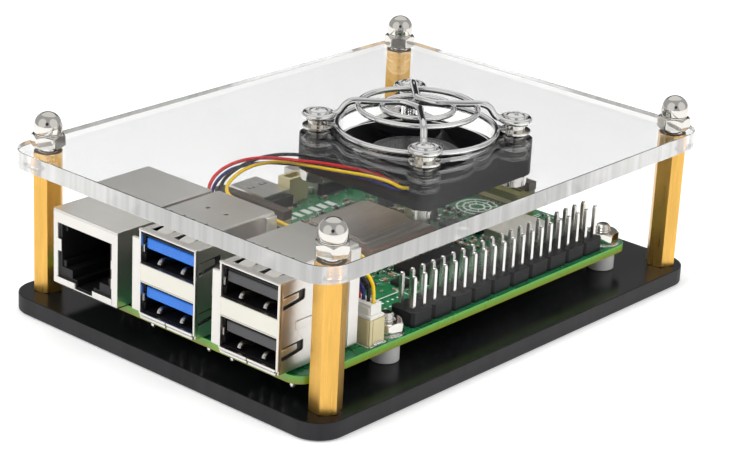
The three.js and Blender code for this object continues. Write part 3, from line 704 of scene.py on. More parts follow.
def make_board_fixings():
    """The spacers, screws, nuts and bare rings at the board's four holes."""
    for i, (x, y) in enumerate(BOARD_HOLES, 1):
        spacer = Form(BOARD)
        rows = [(-4.9, 1.45), (-4.9, 2.3), (-4.8, 2.4), (-1.5, 2.4), (-1.4, 2.3), (-1.4, 1.45)]
        spacer.add(polar(rows, 48, hollow=True), at=(x, y, 0))
        spacer.make(f"spacer_{i}", PLASTIC["nylon"], slot="nylon", replaces=[f"board_spacer_{i}"])
        screw = Form(BOARD)
        screw.add(polar(recessed_rows(), 48), at=(x, y, -BOARD[2]))
        screw.add(polar(thread(1.25, 0.17, 0.45, (-6.9, 3.0)), 40), at=(x, y, 0))
        screw.make(f"screw_{i}", METAL["nickel"], slot="nickel", replaces=[f"board_screw_{i}"], sharp=40)
        nut = Form(BOARD)
        rows = chamfered(BOARD_NUT_ACROSS, (0.0, 2.0), rise=0.28, turn=38 if i == 3 else 22)
        rows += [(2.0, 1.5), (1.8, 1.3), (0.2, 1.3), (0, 1.5)]
        nut.add(polar(rows, 96, hollow=True), at=(x, y, 0))
        nut.make(f"hex_nut_{i}", METAL["nickel"], slot="nickel", replaces=[f"board_nut_{i}"])
        ring = Form(BOARD)
        pad = [(0.0, 1.4), (0.03, 1.4), (0.03, 3.05), (0.0, 3.1)]
        ring.add(polar(pad, 48, hollow=True), at=(x, y, 0))
        ring.make(f"hole_pad_{i}", METAL["solder"], slot="gold_contact")


make_plates()
make_posts()
make_board_fixings()

# ---------------------------------------------------------------- the circuit board

BOARD_T, BOARD_LONG, BOARD_WIDE = 1.4, 85, 56
PITCH = 2.54
NETWORK_PITCH = 1.02
USB_CENTRES = (26.75, 8.85)


def make_board():
    """The bare circuit board."""
    board = Form(BOARD)
    outline = rectangle((0, BOARD_LONG), (0, BOARD_WIDE), 3.0, 12)
    board.add(sheet_form(outline, [circle(x, y, 1.35) for x, y in BOARD_HOLES], (-BOARD_T, 0), 0.06, 1))
    board.make("circuit_board", GREEN, slot="green_board", replaces=["main_board"])


def frame_marks(x, y, line=0.2):
    """The four lines of a printed rectangle."""
    (x0, x1), (y0, y1) = x, y
    return [
        ((x0, x1), (y0, y0 + line)), ((x0, x1), (y1 - line, y1)),
        ((x0, x0 + line), (y0, y1)), ((x1 - line, x1), (y0, y1)),
    ]


def make_markings():
    """White printing: part outlines, dots and plain bars, with no lettering."""
    random.seed(11)
    bars = []
    for x, y in (
        ((0.5, 18.4), (37.4, 53.4)), ((26.2, 37.4), (6.4, 12.6)), ((23.6, 37.6), (5.1, 6.2)),
        ((41, 58.6), (21.8, 22.1)), ((39.6, 41.6), (42.4, 44.4)), ((61.2, 65.4), (33.2, 38.8)),
        ((16.2, 20.4), (0.5, 6.5)), ((75.6, 83.6), (18.4, 19.2)), ((66, 78), (7.9, 19)),
        ((42.4, 59.2), (7.4, 19.6)),
    ):
        bars += frame_marks(x, y)
    for k in range(6):
        x = 43.6 + 2.1 * k
        bars.append(((x, x + 1.2), (43.2, 45.4)))
    for k in range(26):
        x, y = random.uniform(22, 80), random.choice((6.9, 21.0, 41.2, 46.6, 20.4))
        long = random.uniform(0.8, 2.2)
        bars.append(((x, x + long), (y, y + 0.22)))
    form = Form(BOARD)
    for x, y in bars:
        form.add(block(x, y, (0.0, 0.035)))
    for row in range(3):
        for k in range(8):
            form.add(polar([(0, 0.24), (0.035, 0.22)], 14), at=(27.5 + 1.25 * k, 7.6 + 1.7 * row, 0))
    for radius in (1.35, 2.5, 3.7):
        rows = [(0, radius - 0.17), (0.035, radius - 0.17), (0.035, radius + 0.17), (0, radius + 0.17)]
        form.add(polar(rows, 48, hollow=True), at=(73.4, 25.6, 0))
    for k in range(8):
        a = math.pi / 4 * k
        spoke = [(73.4 + r * math.cos(a), 25.6 + r * math.sin(a), 0.02) for r in (1.5, 3.6)]
        form.add(tube(spoke, 0.09, 6))
    form.make("printed_marks", PLASTIC["ink"], slot="silkscreen")


def leaded_chip(form, x, y, top, pins, pitch=0.65):
    """A flat chip with legs along its two long sides."""
    form.add(block(x, y, (0.1, top), 0.12), 0)
    middle = (x[0] + x[1]) / 2
    for k in range(pins):
        px = middle + (k - (pins - 1) / 2) * pitch
        for edge, way in ((y[0], -1), (y[1], 1)):
            foot = sorted((edge, edge + way * 0.6))
            form.add(block((px - 0.12, px + 0.12), foot, (0.0, 0.22), 0.05, 1), 1)


def make_chips():
    """The flat chips and their marks, the metal cans and the coils."""
    chips = Form(BOARD)
    chips.add(block((43, 58.5), (8, 19), (0.1, 1.05), 0.08), 0)
    chips.add(block((19.2, 35.2), (16.4, 32.4), (0.1, 1.2), 0.1), 0)
    for x, y, top in (
        ((66.8, 69.8), (19.8, 22.2), 0.9), ((68, 73), (40.6, 45.6), 0.9), ((38.2, 40.4), (24, 27), 0.7),
        ((60.6, 63.8), (21, 24), 0.8), ((24, 28), (36, 40), 0.9), ((76.8, 79.4), (44.6, 47.2), 0.7),
        ((38, 41), (12.4, 15.4), 0.8),
    ):
        leaded_chip(chips, x, y, top, round((x[1] - x[0]) / 0.65) - 1)
    chips.make("chips", [PLASTIC["chip"], METAL["solder"]], slot="chip_black")
    dots = Form(BOARD)
    for x, y, z in ((44.2, 9.2, 1.05), (20.6, 17.8, 1.2), (57.2, 17.8, 1.05)):
        dots.add(polar([(0, 0.35), (0.03, 0.32)], 20), at=(x, y, z - 0.005))
    for k in range(3):
        dots.add(block((46.5, 54.5 - 1.6 * k), (15.2 - 1.9 * k, 15.9 - 1.9 * k), (1.045, 1.065)))
        dots.add(block((22.6, 31.6 - 2 * k), (27.4 - 2.4 * k, 28.2 - 2.4 * k), (1.195, 1.215)))
    dots.make("chip_marks", PLASTIC["card"], slot="chip_black")
    can = Form(BOARD)
    can.add(block((66.5, 77.5), (8.5, 18.5), (0.05, 2.0), 0.22, 3), 0)
    can.add(block((66.3, 77.7), (8.3, 18.7), (0.0, 0.5), 0.1), 0)
    can.add(polar([(0, 0.45), (0.04, 0.4)], 20), at=(68, 10.2, 1.98))
    for x, y in ((62.4, 41.2), (65.6, 44), (75.2, 36.4), (61.4, 29), (77, 32)):
        can.add(block((x, x + 2.4), (y, y + 1.8), (0, 0.75), 0.12), 0)
    can.make("metal_cans", METAL["plate"], slot="socket_steel")
    coils = Form(BOARD)
    for x, y, s in ((63, 46.4, 3), (66.8, 47.4, 2.6), (71.4, 36.2, 3), (79, 40.8, 2.4), (60.6, 36, 2.4),
                    (25.4, 42.6, 3)):
        coils.add(block((x, x + s), (y, y + s), (0.05, 1.9), 0.25, 3), 0)
    coils.make("coils", PLASTIC["card"], slot="grey_plastic")


# Rectangles of the board's top that other parts stand on, where no small part is put.
TAKEN = [
    ((-3, 19.6), (0, 56)), ((25.5, 80), (0, 6.9)), ((40.2, 59.2), (21.6, 40.6)), ((42.2, 59.4), (7.2, 19.8)),
    ((18.6, 35.8), (15.8, 33)), ((65.9, 78.1), (7.8, 19.2)), ((41.4, 63), (47.9, 56)), ((68.5, 79), (49, 56)),
    ((26.8, 39.8), (38.8, 56)), ((77.2, 85), (19.6, 34.6)), ((19, 28.5), (0, 8)), ((78, 85), (0, 7.5)),
    ((19, 28), (48, 56)), ((77.5, 85), (48.5, 56)), ((26.0, 37.6), (6.2, 12.8)), ((43, 57), (42.8, 46)),
    ((66, 74), (19, 23)), ((67, 74), (40, 46.4)), ((37.4, 41.4), (11.8, 16)), ((69.4, 77.4), (21.6, 29.6)),
    ((81, 85), (35, 41)), ((59.8, 70), (41, 51)), ((60, 64.6), (20.4, 24.6)), ((71, 80), (31.6, 39.6)),
]


def make_small_parts():
    """Rows of tiny capacitors and resistors with their solder, clear of the larger parts."""
    random.seed(5)
    step, spacing, margin, wanted = 0.55, 1.25, 0.4, 230
    form = Form(BOARD)
    placed = []
    while len(placed) < wanted:
        x, y = (round(random.uniform(*span) / step) * step for span in ((19.5, 84), (0.9, 55)))
        long, wide = random.choice(((1.0, 0.5), (1.0, 0.5), (1.6, 0.8), (0.6, 0.3)))
        if random.random() < 0.5:
            long, wide = wide, long
        if any(a[0] - margin < x < a[1] + margin and b[0] - margin < y < b[1] + margin
               for a, b in TAKEN):
            continue
        if any(abs(x - px) < spacing and abs(y - py) < spacing for px, py in placed):
            continue
        placed.append((x, y))
        tall = 0.32 * min(long, wide) + 0.22
        kind = random.choice((0, 0, 1))
        ends_x = long > wide
        whole = (x - long / 2, x + long / 2), (y - wide / 2, y + wide / 2)
        core_x, core_y = (x - long * 0.27, x + long * 0.27), (y - wide * 0.27, y + wide * 0.27)
        core = (core_x, whole[1]) if ends_x else (whole[0], core_y)
        form.add(block(*core, (0.03, tall), 0.05, 1), kind)
        for way in (-1, 1):
            if ends_x:
                cap = sorted((x + way * long * 0.27, x + way * long * 0.55)), whole[1]
            else:
                cap = whole[0], sorted((y + way * wide * 0.27, y + way * wide * 0.55))
            form.add(block(*cap, (0.0, tall + 0.02), 0.06, 1), 2)
    form.make("small_parts", [PLASTIC["ceramic"], PLASTIC["chip"], METAL["solder"]], slot="chip_black")


def make_processor():
    """The processor: a brown laminate under a stepped metal lid."""
    x, y = (41.0, 58.4), (22.5, 39.9)
    package = Form(BOARD)
    package.add(block(x, y, (0.02, 0.9), 0.05), 0)
    lid = [(x[0] + 0.7, y[0] + 0.7), (x[1] - 0.7, y[0] + 0.7), (x[1] - 0.7, y[1] - 0.7),
           (x[0] + 2.6, y[1] - 0.7), (x[0] + 2.1, y[1] - 1.5), (x[0] + 0.7, y[1] - 1.5)]
    package.add(sheet_form(rounded(lid, 0.35), [], (0.88, 1.3), 0.08, 1), 1)
    step = rectangle((x[0] + 1.0, x[1] - 1.0), (y[0] + 2.2, y[1] - 1.7), 0.6)
    package.add(sheet_form(step, [], (1.25, 1.62), 0.14, 2), 1)
    crown = rectangle((x[0] + 1.25, x[1] - 1.25), (y[0] + 3.3, y[1] - 2.1), 0.6)
    package.add(sheet_form(crown, [], (1.55, 1.9), 0.16, 2), 1)
    package.make("processor_package", [PLASTIC["laminate"], METAL["lid"]], slot="lid_metal",
                 replaces=["processor"])


PIN_HALF = 0.32
PIN_LEVELS = ((2.0, 1), (7.7, 1), (8.1, 0.86), (8.32, 0.62), (8.4, 0.3))


def square_pin(x, y):
    """A square pin whose tip narrows; its levels are heights and shares of its width."""
    points, faces = [], [[0, 3, 2, 1], [4 * len(PIN_LEVELS) - 4 + i for i in range(4)]]
    for z, share in PIN_LEVELS:
        h = PIN_HALF * share
        points += [(x - h, y - h, z), (x + h, y - h, z), (x + h, y + h, z), (x - h, y + h, z)]
    for level in range(len(PIN_LEVELS) - 1):
        for side in range(4):
            a, b = 4 * level + side, 4 * level + (side + 1) % 4
            faces.append([a, b, b + 4, a + 4])
    return points, faces


def make_header():
    """The pin header: ten blocks of two by two pins, with a cone of solder under each pin."""
    strip, pins = Form(BOARD), Form(BOARD)
    cone = [(-2.05, 0.22), (-2.0, 0.3), (-1.8, 0.42), (-1.55, 0.7), (-1.41, 0.9)]
    for k in range(10):
        x0 = 27.1 + 2 * PITCH * k
        corners = [(x0 + 0.5, 0.96), (x0 + 4.58, 0.96), (x0 + 5.06, 1.45), (x0 + 5.06, 5.55),
                   (x0 + 4.58, 6.04), (x0 + 0.5, 6.04), (x0 + 0.02, 5.55), (x0 + 0.02, 1.45)]
        strip.add(sheet_form(corners, [], (0.0, PITCH), 0.07, 1))
        for column in range(2):
            for row in range(2):
                x, y = x0 + PITCH / 2 + PITCH * column, 2.23 + PITCH * row
                pins.add(square_pin(x, y))
                pins.add(polar(cone, 16), 1, at=(x, y, 0))
    strip.make("header_strip", PLASTIC["black"], slot="black_plastic", replaces=["pin_header"])
    pins.make("header_pins", [METAL["pin"], METAL["solder"]], slot="socket_steel", sharp=50)


make_board()
make_markings()
make_chips()
make_small_parts()
make_processor()
make_header()

# ---------------------------------------------------------------- network socket


def make_network_socket():
    """The network socket: its can, lamps, contacts and guides."""
    x, y, z, t = (-2.8, 18.2), (37.8, 53.1), (0.4, 13.4), 0.3
    can = Form(BOARD)
    mouth = [(39.2, 11.1), (52.1, 11.1), (52.1, 8.3), (51.2, 8.3), (51.2, 6.2), (52.1, 6.2), (52.1, 1.6),
             (47.85, 1.6), (47.85, 0.62), (43.75, 0.62), (43.75, 1.6), (39.2, 1.6), (39.2, 3.3),
             (39.35, 3.3), (39.35, 5.0), (39.2, 5.0), (39.2, 6.7), (39.35, 6.7), (39.35, 8.2), (39.2, 8.2)]
    front = [(-b, c) for b, c in rectangle(y, (z[0], z[1] - 0.42), 0.15, 2)]
    hole = [(-b, c) for b, c in mouth]
    can.add(sheet_form(front, [hole[::-1]], (0, t), 0.05, 1), at=(x[0] + t, 0, 0), turn=FACE_MINUS_X)
    can.add(block((x[0], x[1]), y, (z[1] - 0.3, z[1]), 0.12, 3))
    can.add(block((x[0] - 0.02, x[0] + 0.3), y, (z[1] - 0.42, z[1] - 0.06), 0.1, 2))
    for side, edge in ((y[0], (y[0], y[0] + t)), (y[1], (y[1] - t, y[1]))):
        can.add(block((x[0] + 0.2, x[1]), edge, (z[0], z[1] - 0.2), 0.08))
        way = -1 if side == y[0] else 1
        for k in range(2):
            px = 4.5 + 6.5 * k
            lift = sorted((side, side + way * 0.25))
            can.add(block((px, px + 3.2), lift, (5.2, 8.2), 0.2))
    can.add(block((x[1] - t, x[1]), (y[0] + 0.1, y[1] - 0.1), (z[0], z[1] - 0.1), 0.08))
    for lip in ((39.0, 43.7), (47.9, 52.4)):
        can.add(block((x[0] - 0.12, x[0] + 0.7), lip, (0.62, 1.62), 0.12))
    for edge in ((38.95, 39.25), (52.05, 52.35)):
        can.add(block((x[0] + 0.05, x[0] + 1.1), edge, (1.6, 11.1), 0.06))
    can.add(block((x[0] + 0.05, x[0] + 0.9), (39.1, 52.2), (11.02, 11.3), 0.08))
    can.make("network_can", METAL["steel"], slot="socket_steel", replaces=["ethernet_shell"])
    lamps = Form(BOARD)
    lamps.add(block((-2.35, -1.6), (50.0, 52.6), (1.5, 3.2), 0.3, 3), 0)
    lamps.add(block((-2.35, -1.6), (38.8, 42.0), (1.3, 2.9), 0.3, 3), 1)
    lamps.make("network_lamps", [PLASTIC["green_lamp"], PLASTIC["yellow_lamp"]], slot="lamp_green")
    contacts = Form(BOARD)
    for k in range(8):
        py = 42.07 + NETWORK_PITCH * k
        contacts.add(tube([(9.9, py, 4.0), (8.0, py, 5.2), (3.2, py, 8.6), (2.2, py, 10.6)], 0.18, 8))
    contacts.make("network_contacts", METAL["gold"], slot="gold_contact")
    guides = Form(BOARD)
    for span in ((39.0, 40.6), (50.6, 52.3)):
        guides.add(block((-2.2, 6), span, (3.2, 4.6), 0.15))
        guides.add(block((-1.9, 6), span, (9.6, 10.8), 0.15))
    guides.make("network_guides", PLASTIC["black"], slot="black_plastic")


# ---------------------------------------------------------------- USB sockets


def spring_tab(form, y, wide, x, z, drop):
    """A finger cut from the top, which bends down towards the front and curls up at its tip."""
    steps = 8
    line = []
    for k in range(steps + 1):
        s = k / steps
        line.append((x[1] + (x[0] - x[1]) * s, z - drop * s * s))
    line.append((x[0] - 0.25, z - drop + 0.02))
    line.append((x[0] - 0.5, z - drop + 0.22))
    points, faces = [], []
    for px, pz in line:
        points += [(px, y - wide / 2, pz), (px, y + wide / 2, pz), (px, y + wide / 2, pz - 0.2),
                   (px, y - wide / 2, pz - 0.2)]
    for k in range(len(line) - 1):
        for side in range(4):
            a, b = 4 * k + side, 4 * k + (side + 1) % 4
            faces.append([a, a + 4, b + 4, b])
    last = 4 * (len(line) - 1)
    faces += [[0, 1, 2, 3], [last + 3, last + 2, last + 1, last]]
    form.add(turned_outward(points, faces))


# A stacked pair's sides repeat at these rises, and its two bays start at these heights.
RISES = (0.0, 8.4)
BAYS = (1.5, 9.8)


def side_panel(outer_x, z, cuts):
    """A can's side wall, with its windows."""
    outline = rectangle(outer_x, z, 0.1, 2)
    return sheet_form(outline, cuts, (0, 0.3), 0.05, 1)


USB_X, USB_Z, USB_HALF, USB_SHEET = (-2.5, 14.8), (0.5, 15.5), 6.35, 0.3


def make_usb_can(number, c):
    """One stacked pair's can, centred on y = c, with its fingers, windows, rims and bar."""
    x, z, t, half = USB_X, USB_Z, USB_SHEET, USB_HALF

    def across(inset):
        """The can's width, less an inset at each side."""
        return c - half + inset, c + half - inset

    can = Form(BOARD)
    slots = [-2.2, 3.3] if number == 2 else [-1.6, 3.4]
    cuts = [rectangle((-1.25, 3.2), (c + s - 1.7, c + s + 1.7), 0.12, 2) for s in slots]
    if number == 1:
        cuts += [circle(8.1, c + 1.95, 0.42, 20), circle(8.2, c - 2.05, 0.42, 20)]
    top = rectangle((x[0] + 0.1, x[1]), across(0.1), 0.2, 3)
    can.add(sheet_form(top, cuts, (z[1] - t, z[1]), 0.06, 1))
    for s in slots:
        spring_tab(can, c + s, 2.4, (-0.55, 3.25), z[1] - 0.02, 0.5)
    windows = []
    for rise in RISES:
        windows.append(rounded([(-1.75, 2.55 + rise), (3.0, 3.35 + rise), (3.0, 5.1 + rise),
                                (-1.75, 4.75 + rise)], 0.35))
    can.add(side_panel((x[0] + 0.2, x[1]), (z[0], z[1] - 0.15), windows), at=(0, c - half + t, 0),
            turn=FACE_MINUS_Y)
    mirrored = [[(-px, pz) for px, pz in w][::-1] for w in windows]
    can.add(side_panel((-x[1], -x[0] - 0.2), (z[0], z[1] - 0.15), mirrored), at=(0, c + half - t, 0),
            turn=FACE_PLUS_Y)
    for way in (-1, 1):
        for rise in RISES:
            corners = [(-1.9, 3.0 + rise), (1.7, 3.75 + rise), (1.7, 4.7 + rise), (-1.9, 4.4 + rise)]
            tab = rounded(corners, 0.2)
            part = sheet_form(tab, [], (0, 0.22), 0.05, 1)
            turn = Matrix.Rotation(math.radians(4 * way), 3, "Z") @ FACE_MINUS_Y
            spot = (0, c + way * (half - 0.32) + (0.11 if way > 0 else 0.05), 0)
            can.add(part, at=spot, turn=turn)
        wall = sorted((c + way * half, c + way * (half + 0.16)))
        can.add(block((1.2, 9.6), wall, (7.05, 8.5), 0.7, 4))
        rear = sorted((c + way * (half - 0.1), c + way * (half + 0.5)))
        can.add(block((12.6, x[1] + 0.1), rear, (0.9, 15.0), 0.15))
    can.add(block((x[1] - t, x[1]), across(0.1), (z[0], z[1] - 0.1), 0.1))
    rim = 0.42
    can.add(block((x[0] - 0.2, x[0] + 0.5), across(-0.05), (z[1] - 0.32, z[1] + 0.12), 0.16, 3))
    for way in (-1, 1):
        edge = sorted((c + way * half, c + way * (half - rim)))
        can.add(block((x[0] - 0.1, x[0] + 0.5), edge, (z[0] + 0.6, z[1] - 0.2), 0.12, 2))
    can.add(block((x[0] - 0.15, x[0] + 0.35), (c + half - 0.1, c + half + 1.5), (1.4, 13.9), 0.16, 3))
    can.add(block((x[0], x[0] + 4), (c + half - 0.1, c + half + 0.25), (1.8, 13.5), 0.1))
    can.add(block((x[0] - 0.05, x[0] + 0.25), across(0.3), (6.75, 9.6), 0.06), 1)
    can.add(block((x[0] - 0.22, x[0] + 0.7), across(0.25), (9.5, 9.85), 0.14, 2), 1)
    can.add(block((x[0] - 0.12, x[0] + 0.7), across(0.25), (6.55, 6.8), 0.1, 2), 1)
    can.add(block((x[0], 7), across(0.1), (z[0] + 0.5, z[0] + 0.8), 0.1))
    for span in ((c - half + 0.4, c - 0.12), (c + 0.12, c + half - 0.4)):
        can.add(block((x[0] - 0.28, x[0] + 0.5), span, (0.98, 1.5), 0.14, 2))
        can.add(block((x[0] - 0.12, x[0] + 0.5), span, (0.4, 0.88), 0.14, 2))
    can.make(f"usb_can_{number}", [METAL["steel"], METAL["plate"]], slot="socket_steel",
             replaces=[f"usb_shell_{number}"])


def make_usb_inside(number, c, colour):
    """The same pair's core, its tongues in their colour, and the contacts."""
    inner = USB_HALF - USB_SHEET - 0.05
    width = (c - inner, c + inner)
    core = Form(BOARD)
    core.add(block((7.1, 14.2), width, (0.1, 15.1), 0.1))
    core.add(block((-2.0, 7.5), width, (6.9, 9.45), 0.1))
    for bay in BAYS:
        for way in (-1, 1):
            wall = sorted((c + way * inner, c + way * (inner - 0.12)))
            core.add(block((-1.5, 7.3), wall, (bay - 0.1, bay + 5.1), 0.02, 1))
        core.add(block((-1.8, 7.3), width, (bay - 0.15, bay + 0.05), 0.02, 1))
        core.add(block((-1.7, 7.3), width, (bay + 4.45, bay + 4.6), 0.02, 1))
    core.make(f"usb_core_{number}", PLASTIC["dark"], slot="black_plastic")
    tongues = Form(BOARD)
    for bay in BAYS:
        tongues.add(block((-1.7, 7.3), (c - 5.5, c + 5.5), (bay + 2.35, bay + 4.25), 0.28, 3))
    tongues.make(f"usb_tongue_{number}", PLASTIC[colour], slot=f"{colour}_plastic",
                 replaces=[f"usb_insert_{number}"])
    contacts = Form(BOARD)
    for bay in BAYS:
        for side in (-2.5, 2.7):
            bow = [(3.5, c + side, bay + 0.1), (1.0, c + side, bay + 0.45), (-0.7, c + side, bay + 1.0),
                   (-1.3, c + side, bay + 0.75), (-1.5, c + side, bay + 0.35)]
            contacts.add(tube(smooth_path(bow, 4), 0.42, 10))
        for k in range(4):
            py = c - 3.5 + 7 / 3 * k
            contacts.add(block((-1.0, 6), (py - 0.5, py + 0.5), (bay + 2.22, bay + 2.4), 0.06, 1), 1)
    contacts.make(f"usb_contacts_{number}", [METAL["steel"], METAL["gold"]], slot="gold_contact")


make_network_socket()
for pair, centre, tongue in zip((1, 2), USB_CENTRES, ("blue", "grey")):
    make_usb_can(pair, centre)
    make_usb_inside(pair, centre, tongue)

# ---------------------------------------------------------------- small sockets


def dress_node(name, material, bevel=0.1, segments=2):
    """Gives a CAD part its material and softens its edges."""
    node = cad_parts[name]
    for k in range(max(1, len(node.material_slots))):
        if k < len(node.data.materials):
            node.data.materials[k] = material
        else:
            node.data.materials.append(material)
    flat = node.modifiers.new("flat", "DECIMATE")
    flat.decimate_type, flat.angle_limit = "DISSOLVE", math.radians(1)
    soft = node.modifiers.new("soft", "BEVEL")
    soft.width, soft.segments, soft.limit_method = bevel * MM, segments, "ANGLE"
    soft.angle_limit, soft.harden_normals = math.radians(40), True
    soft.use_clamp_overlap = True


VIDEO_CENTRES, POWER_CENTRE = (45.2, 59.2), 73.8
# Each ribbon socket's middle and its length.
RIBBON_SOCKETS = ((36.6, 47.6, 16.4), (29.9, 47.6, 16.4), (80.3, 27, 14))


def dress_small_sockets():
    """Materials for the small sockets, their latches and the power button."""
    for name in ("video_port_1", "video_port_2", "power_port", "power_switch"):
        dress_node(name, METAL["steel"], 0.16, 3)
    dress_node("ethernet_insert", PLASTIC["black"], 0.1)
    dress_node("debug_connector", PLASTIC["cream"], 0.12)
    dress_node("fan_connector", PLASTIC["cream"], 0.12)
    dress_node("fan_plug", PLASTIC["white"], 0.12)
    dress_node("power_button", PLASTIC["white"], 0.1)
    for name in ("camera_connector_1", "camera_connector_2"):
        dress_node(name, PLASTIC["cream"], 0.1)
    dress_node("expansion_connector", PLASTIC["olive"], 0.1)
    for name in ("camera_latch_1", "camera_latch_2", "expansion_latch"):
        dress_node(name, PLASTIC["brown"], 0.14)


def make_edge_sockets():
    """The metal legs and springs of the sockets on the long edge, and their black backs."""
    detail, rear = Form(BOARD), Form(BOARD)
    for c in VIDEO_CENTRES:
        for side in (-1.5, 1.5):
            # Each thin dark plate under a spring is painted shade: it stands where the slot round the spring
            # opens into the socket.
            detail.add(block((c + side - 0.7, c + side + 0.7), (53.2, 54.1), (3.06, 3.13), 0.03, 1), 1)
            detail.add(block((c + side - 0.45, c + side + 0.45), (53.3, 56.2), (3.08, 3.2), 0.05, 1), 0)
        for way in (-1, 1):
            leg = sorted((c + way * 3.2, c + way * 3.75))
            for py in (50.2, 55.2):
                detail.add(block(leg, (py - 0.5, py + 0.5), (-0.02, 1.2), 0.12), 0)
        rear.add(block((c - 3.2, c + 3.2), (47.5, 48.7), (0.05, 2.3), 0.15))
        for k in range(9):
            px = c - 2.4 + 0.6 * k
            detail.add(block((px - 0.1, px + 0.1), (46.9, 47.6), (0.0, 0.25), 0.04, 1), 0)
    for way in (-1, 1):
        leg = sorted((POWER_CENTRE + way * 4.4, POWER_CENTRE + way * 4.9))
        detail.add(block(leg, (51.2, 52.4), (-0.02, 1.1), 0.12), 0)
        detail.add(block(leg, (55.0, 56.2), (-0.02, 1.1), 0.12), 0)
    detail.make("edge_socket_metal", [METAL["steel"], PLASTIC["dark"]], slot="socket_steel")
    rear.make("edge_socket_backs", PLASTIC["black"], slot="black_plastic")


def make_solder_feet():
    """The feet and pins of the upright sockets, and the feet and contacts of the ribbon sockets."""
    feet = Form(BOARD)
    for k in range(3):
        px = 50.2 + 1.0 * k
        feet.add(block((px - 0.15, px + 0.15), (48.2, 49.3), (0.0, 0.35), 0.08, 1))
        feet.add(tube([(px, 50.3, 0.9), (px, 50.3, 3.6)], 0.16, 8))
    for px in (48.4, 54.0):
        feet.add(block((px - 0.35, px + 0.35), (49.4, 51.2), (0.0, 0.5), 0.1, 1))
    for k in range(4):
        py = 2 + k
        feet.add(block((15.8, 16.8), (py - 0.15, py + 0.15), (0.0, 0.3), 0.08, 1))
    for py in (0.7, 6.3):
        feet.add(block((17.3, 19.4), (py - 0.3, py + 0.3), (0.0, 0.6), 0.12, 1))
    for ax, ay, long in RIBBON_SOCKETS:
        count = int((long - 2) / 0.5)
        for k in range(count):
            py = ay - (count - 1) * 0.25 + 0.5 * k
            feet.add(block((ax - 3.1, ax - 2.45), (py - 0.1, py + 0.1), (0.0, 0.25), 0.04, 1))
            feet.add(block((ax - 0.55, ax - 0.4), (py - 0.09, py + 0.09), (0.7, 2.5), 0.03, 1))
    feet.make("solder_feet", METAL["solder"], slot="socket_steel")


def make_ribbon_ears():
    """A lip along each ribbon socket and an ear at each of its ends."""
    lips = Form(BOARD)
    for ax, ay, long in RIBBON_SOCKETS:
        lips.add(block((ax - 2.52, ax - 2.3), (ay - long / 2 + 1, ay + long / 2 - 1), (0.4, 1.3), 0.08))
        for way in (-1, 1):
            ear = sorted((ay + way * long / 2, ay + way * (long / 2 + 0.35)))
            lips.add(block((ax - 2.0, ax - 0.2), ear, (0.05, 1.9), 0.15))
    lips.make("ribbon_ears", PLASTIC["cream"], slot="cream_plastic")


def make_fan_lead_ends():
    """Ribs on the socket, and a shoulder and a ridge on the plug."""
    ribs = Form(BOARD)
    for y0 in (1.2, 5.2):
        ribs.add(block((19.95, 20.12), (y0, y0 + 0.5), (0.1, 4.2), 0.06))
        ribs.add(block((16.48, 16.65), (y0, y0 + 0.5), (0.1, 4.2), 0.06))
    ribs.add(block((17.2, 17.7), (0.78, 0.95), (0.1, 4.2), 0.06))
    ribs.make("socket_ribs", PLASTIC["cream"], slot="cream_plastic")
    plug = Form(BOARD)
    plug.add(block((16.7, 19.9), (1.0, 6.0), (4.35, 5.0), 0.15, 3))
    plug.add(block((16.9, 17.2), (1.6, 5.4), (4.9, 6.3), 0.12))
    plug.make("plug_shoulder", PLASTIC["white"], slot="white_plastic")


def make_underside():
    """The memory card slot with a card in it, and solder under the sockets."""
    slot = Form(BOARD)
    slot.add(block((71.5, 84.2), (21.4, 34.6), (-2.9, -1.42), 0.12), 0)
    slot.add(block((74, 86.2), (22.5, 33.5), (-2.45, -1.75), 0.12), 1)
    slot.make("card_slot", [METAL["steel"], PLASTIC["card"]], slot="socket_steel")
    joints = Form(BOARD)
    cone = [(-2.5, 0.22), (-2.4, 0.3), (-1.75, 0.55), (-1.41, 0.85)]
    for c in USB_CENTRES:
        for px in (2.5, 5.0):
            for k in range(4):
                joints.add(polar(cone, 14), at=(px, c - 3.5 + 2.33 * k, 0))
        for px in (1.0, 11.5):
            for way in (-1, 1):
                joints.add(block((px - 0.5, px + 0.5), (c + way * 6.4 - 0.4, c + way * 6.4 + 0.4),
                                 (-2.4, -1.38), 0.3, 2))
    for k in range(8):
        joints.add(polar(cone, 14), at=(8.5 + PITCH * (k % 2), 41.9 + NETWORK_PITCH * k, 0))
    for c in (*VIDEO_CENTRES, POWER_CENTRE):
        for way in (-1, 1):
            leg = (c + way * 3.6 - 0.4, c + way * 3.6 + 0.4)
            joints.add(block(leg, (54.6, 55.4), (-1.9, -1.38), 0.2, 2))
    joints.make("solder_joints", METAL["solder"], slot="socket_steel")


dress_small_sockets()
make_edge_sockets()
make_solder_feet()
make_ribbon_ears()
make_fan_lead_ends()
make_underside()

# ---------------------------------------------------------------- fan


FAN_HALF, FAN_DEPTH, BORE, HUB = 15, 6.5, 14.2, 8.3
BLADES = 7


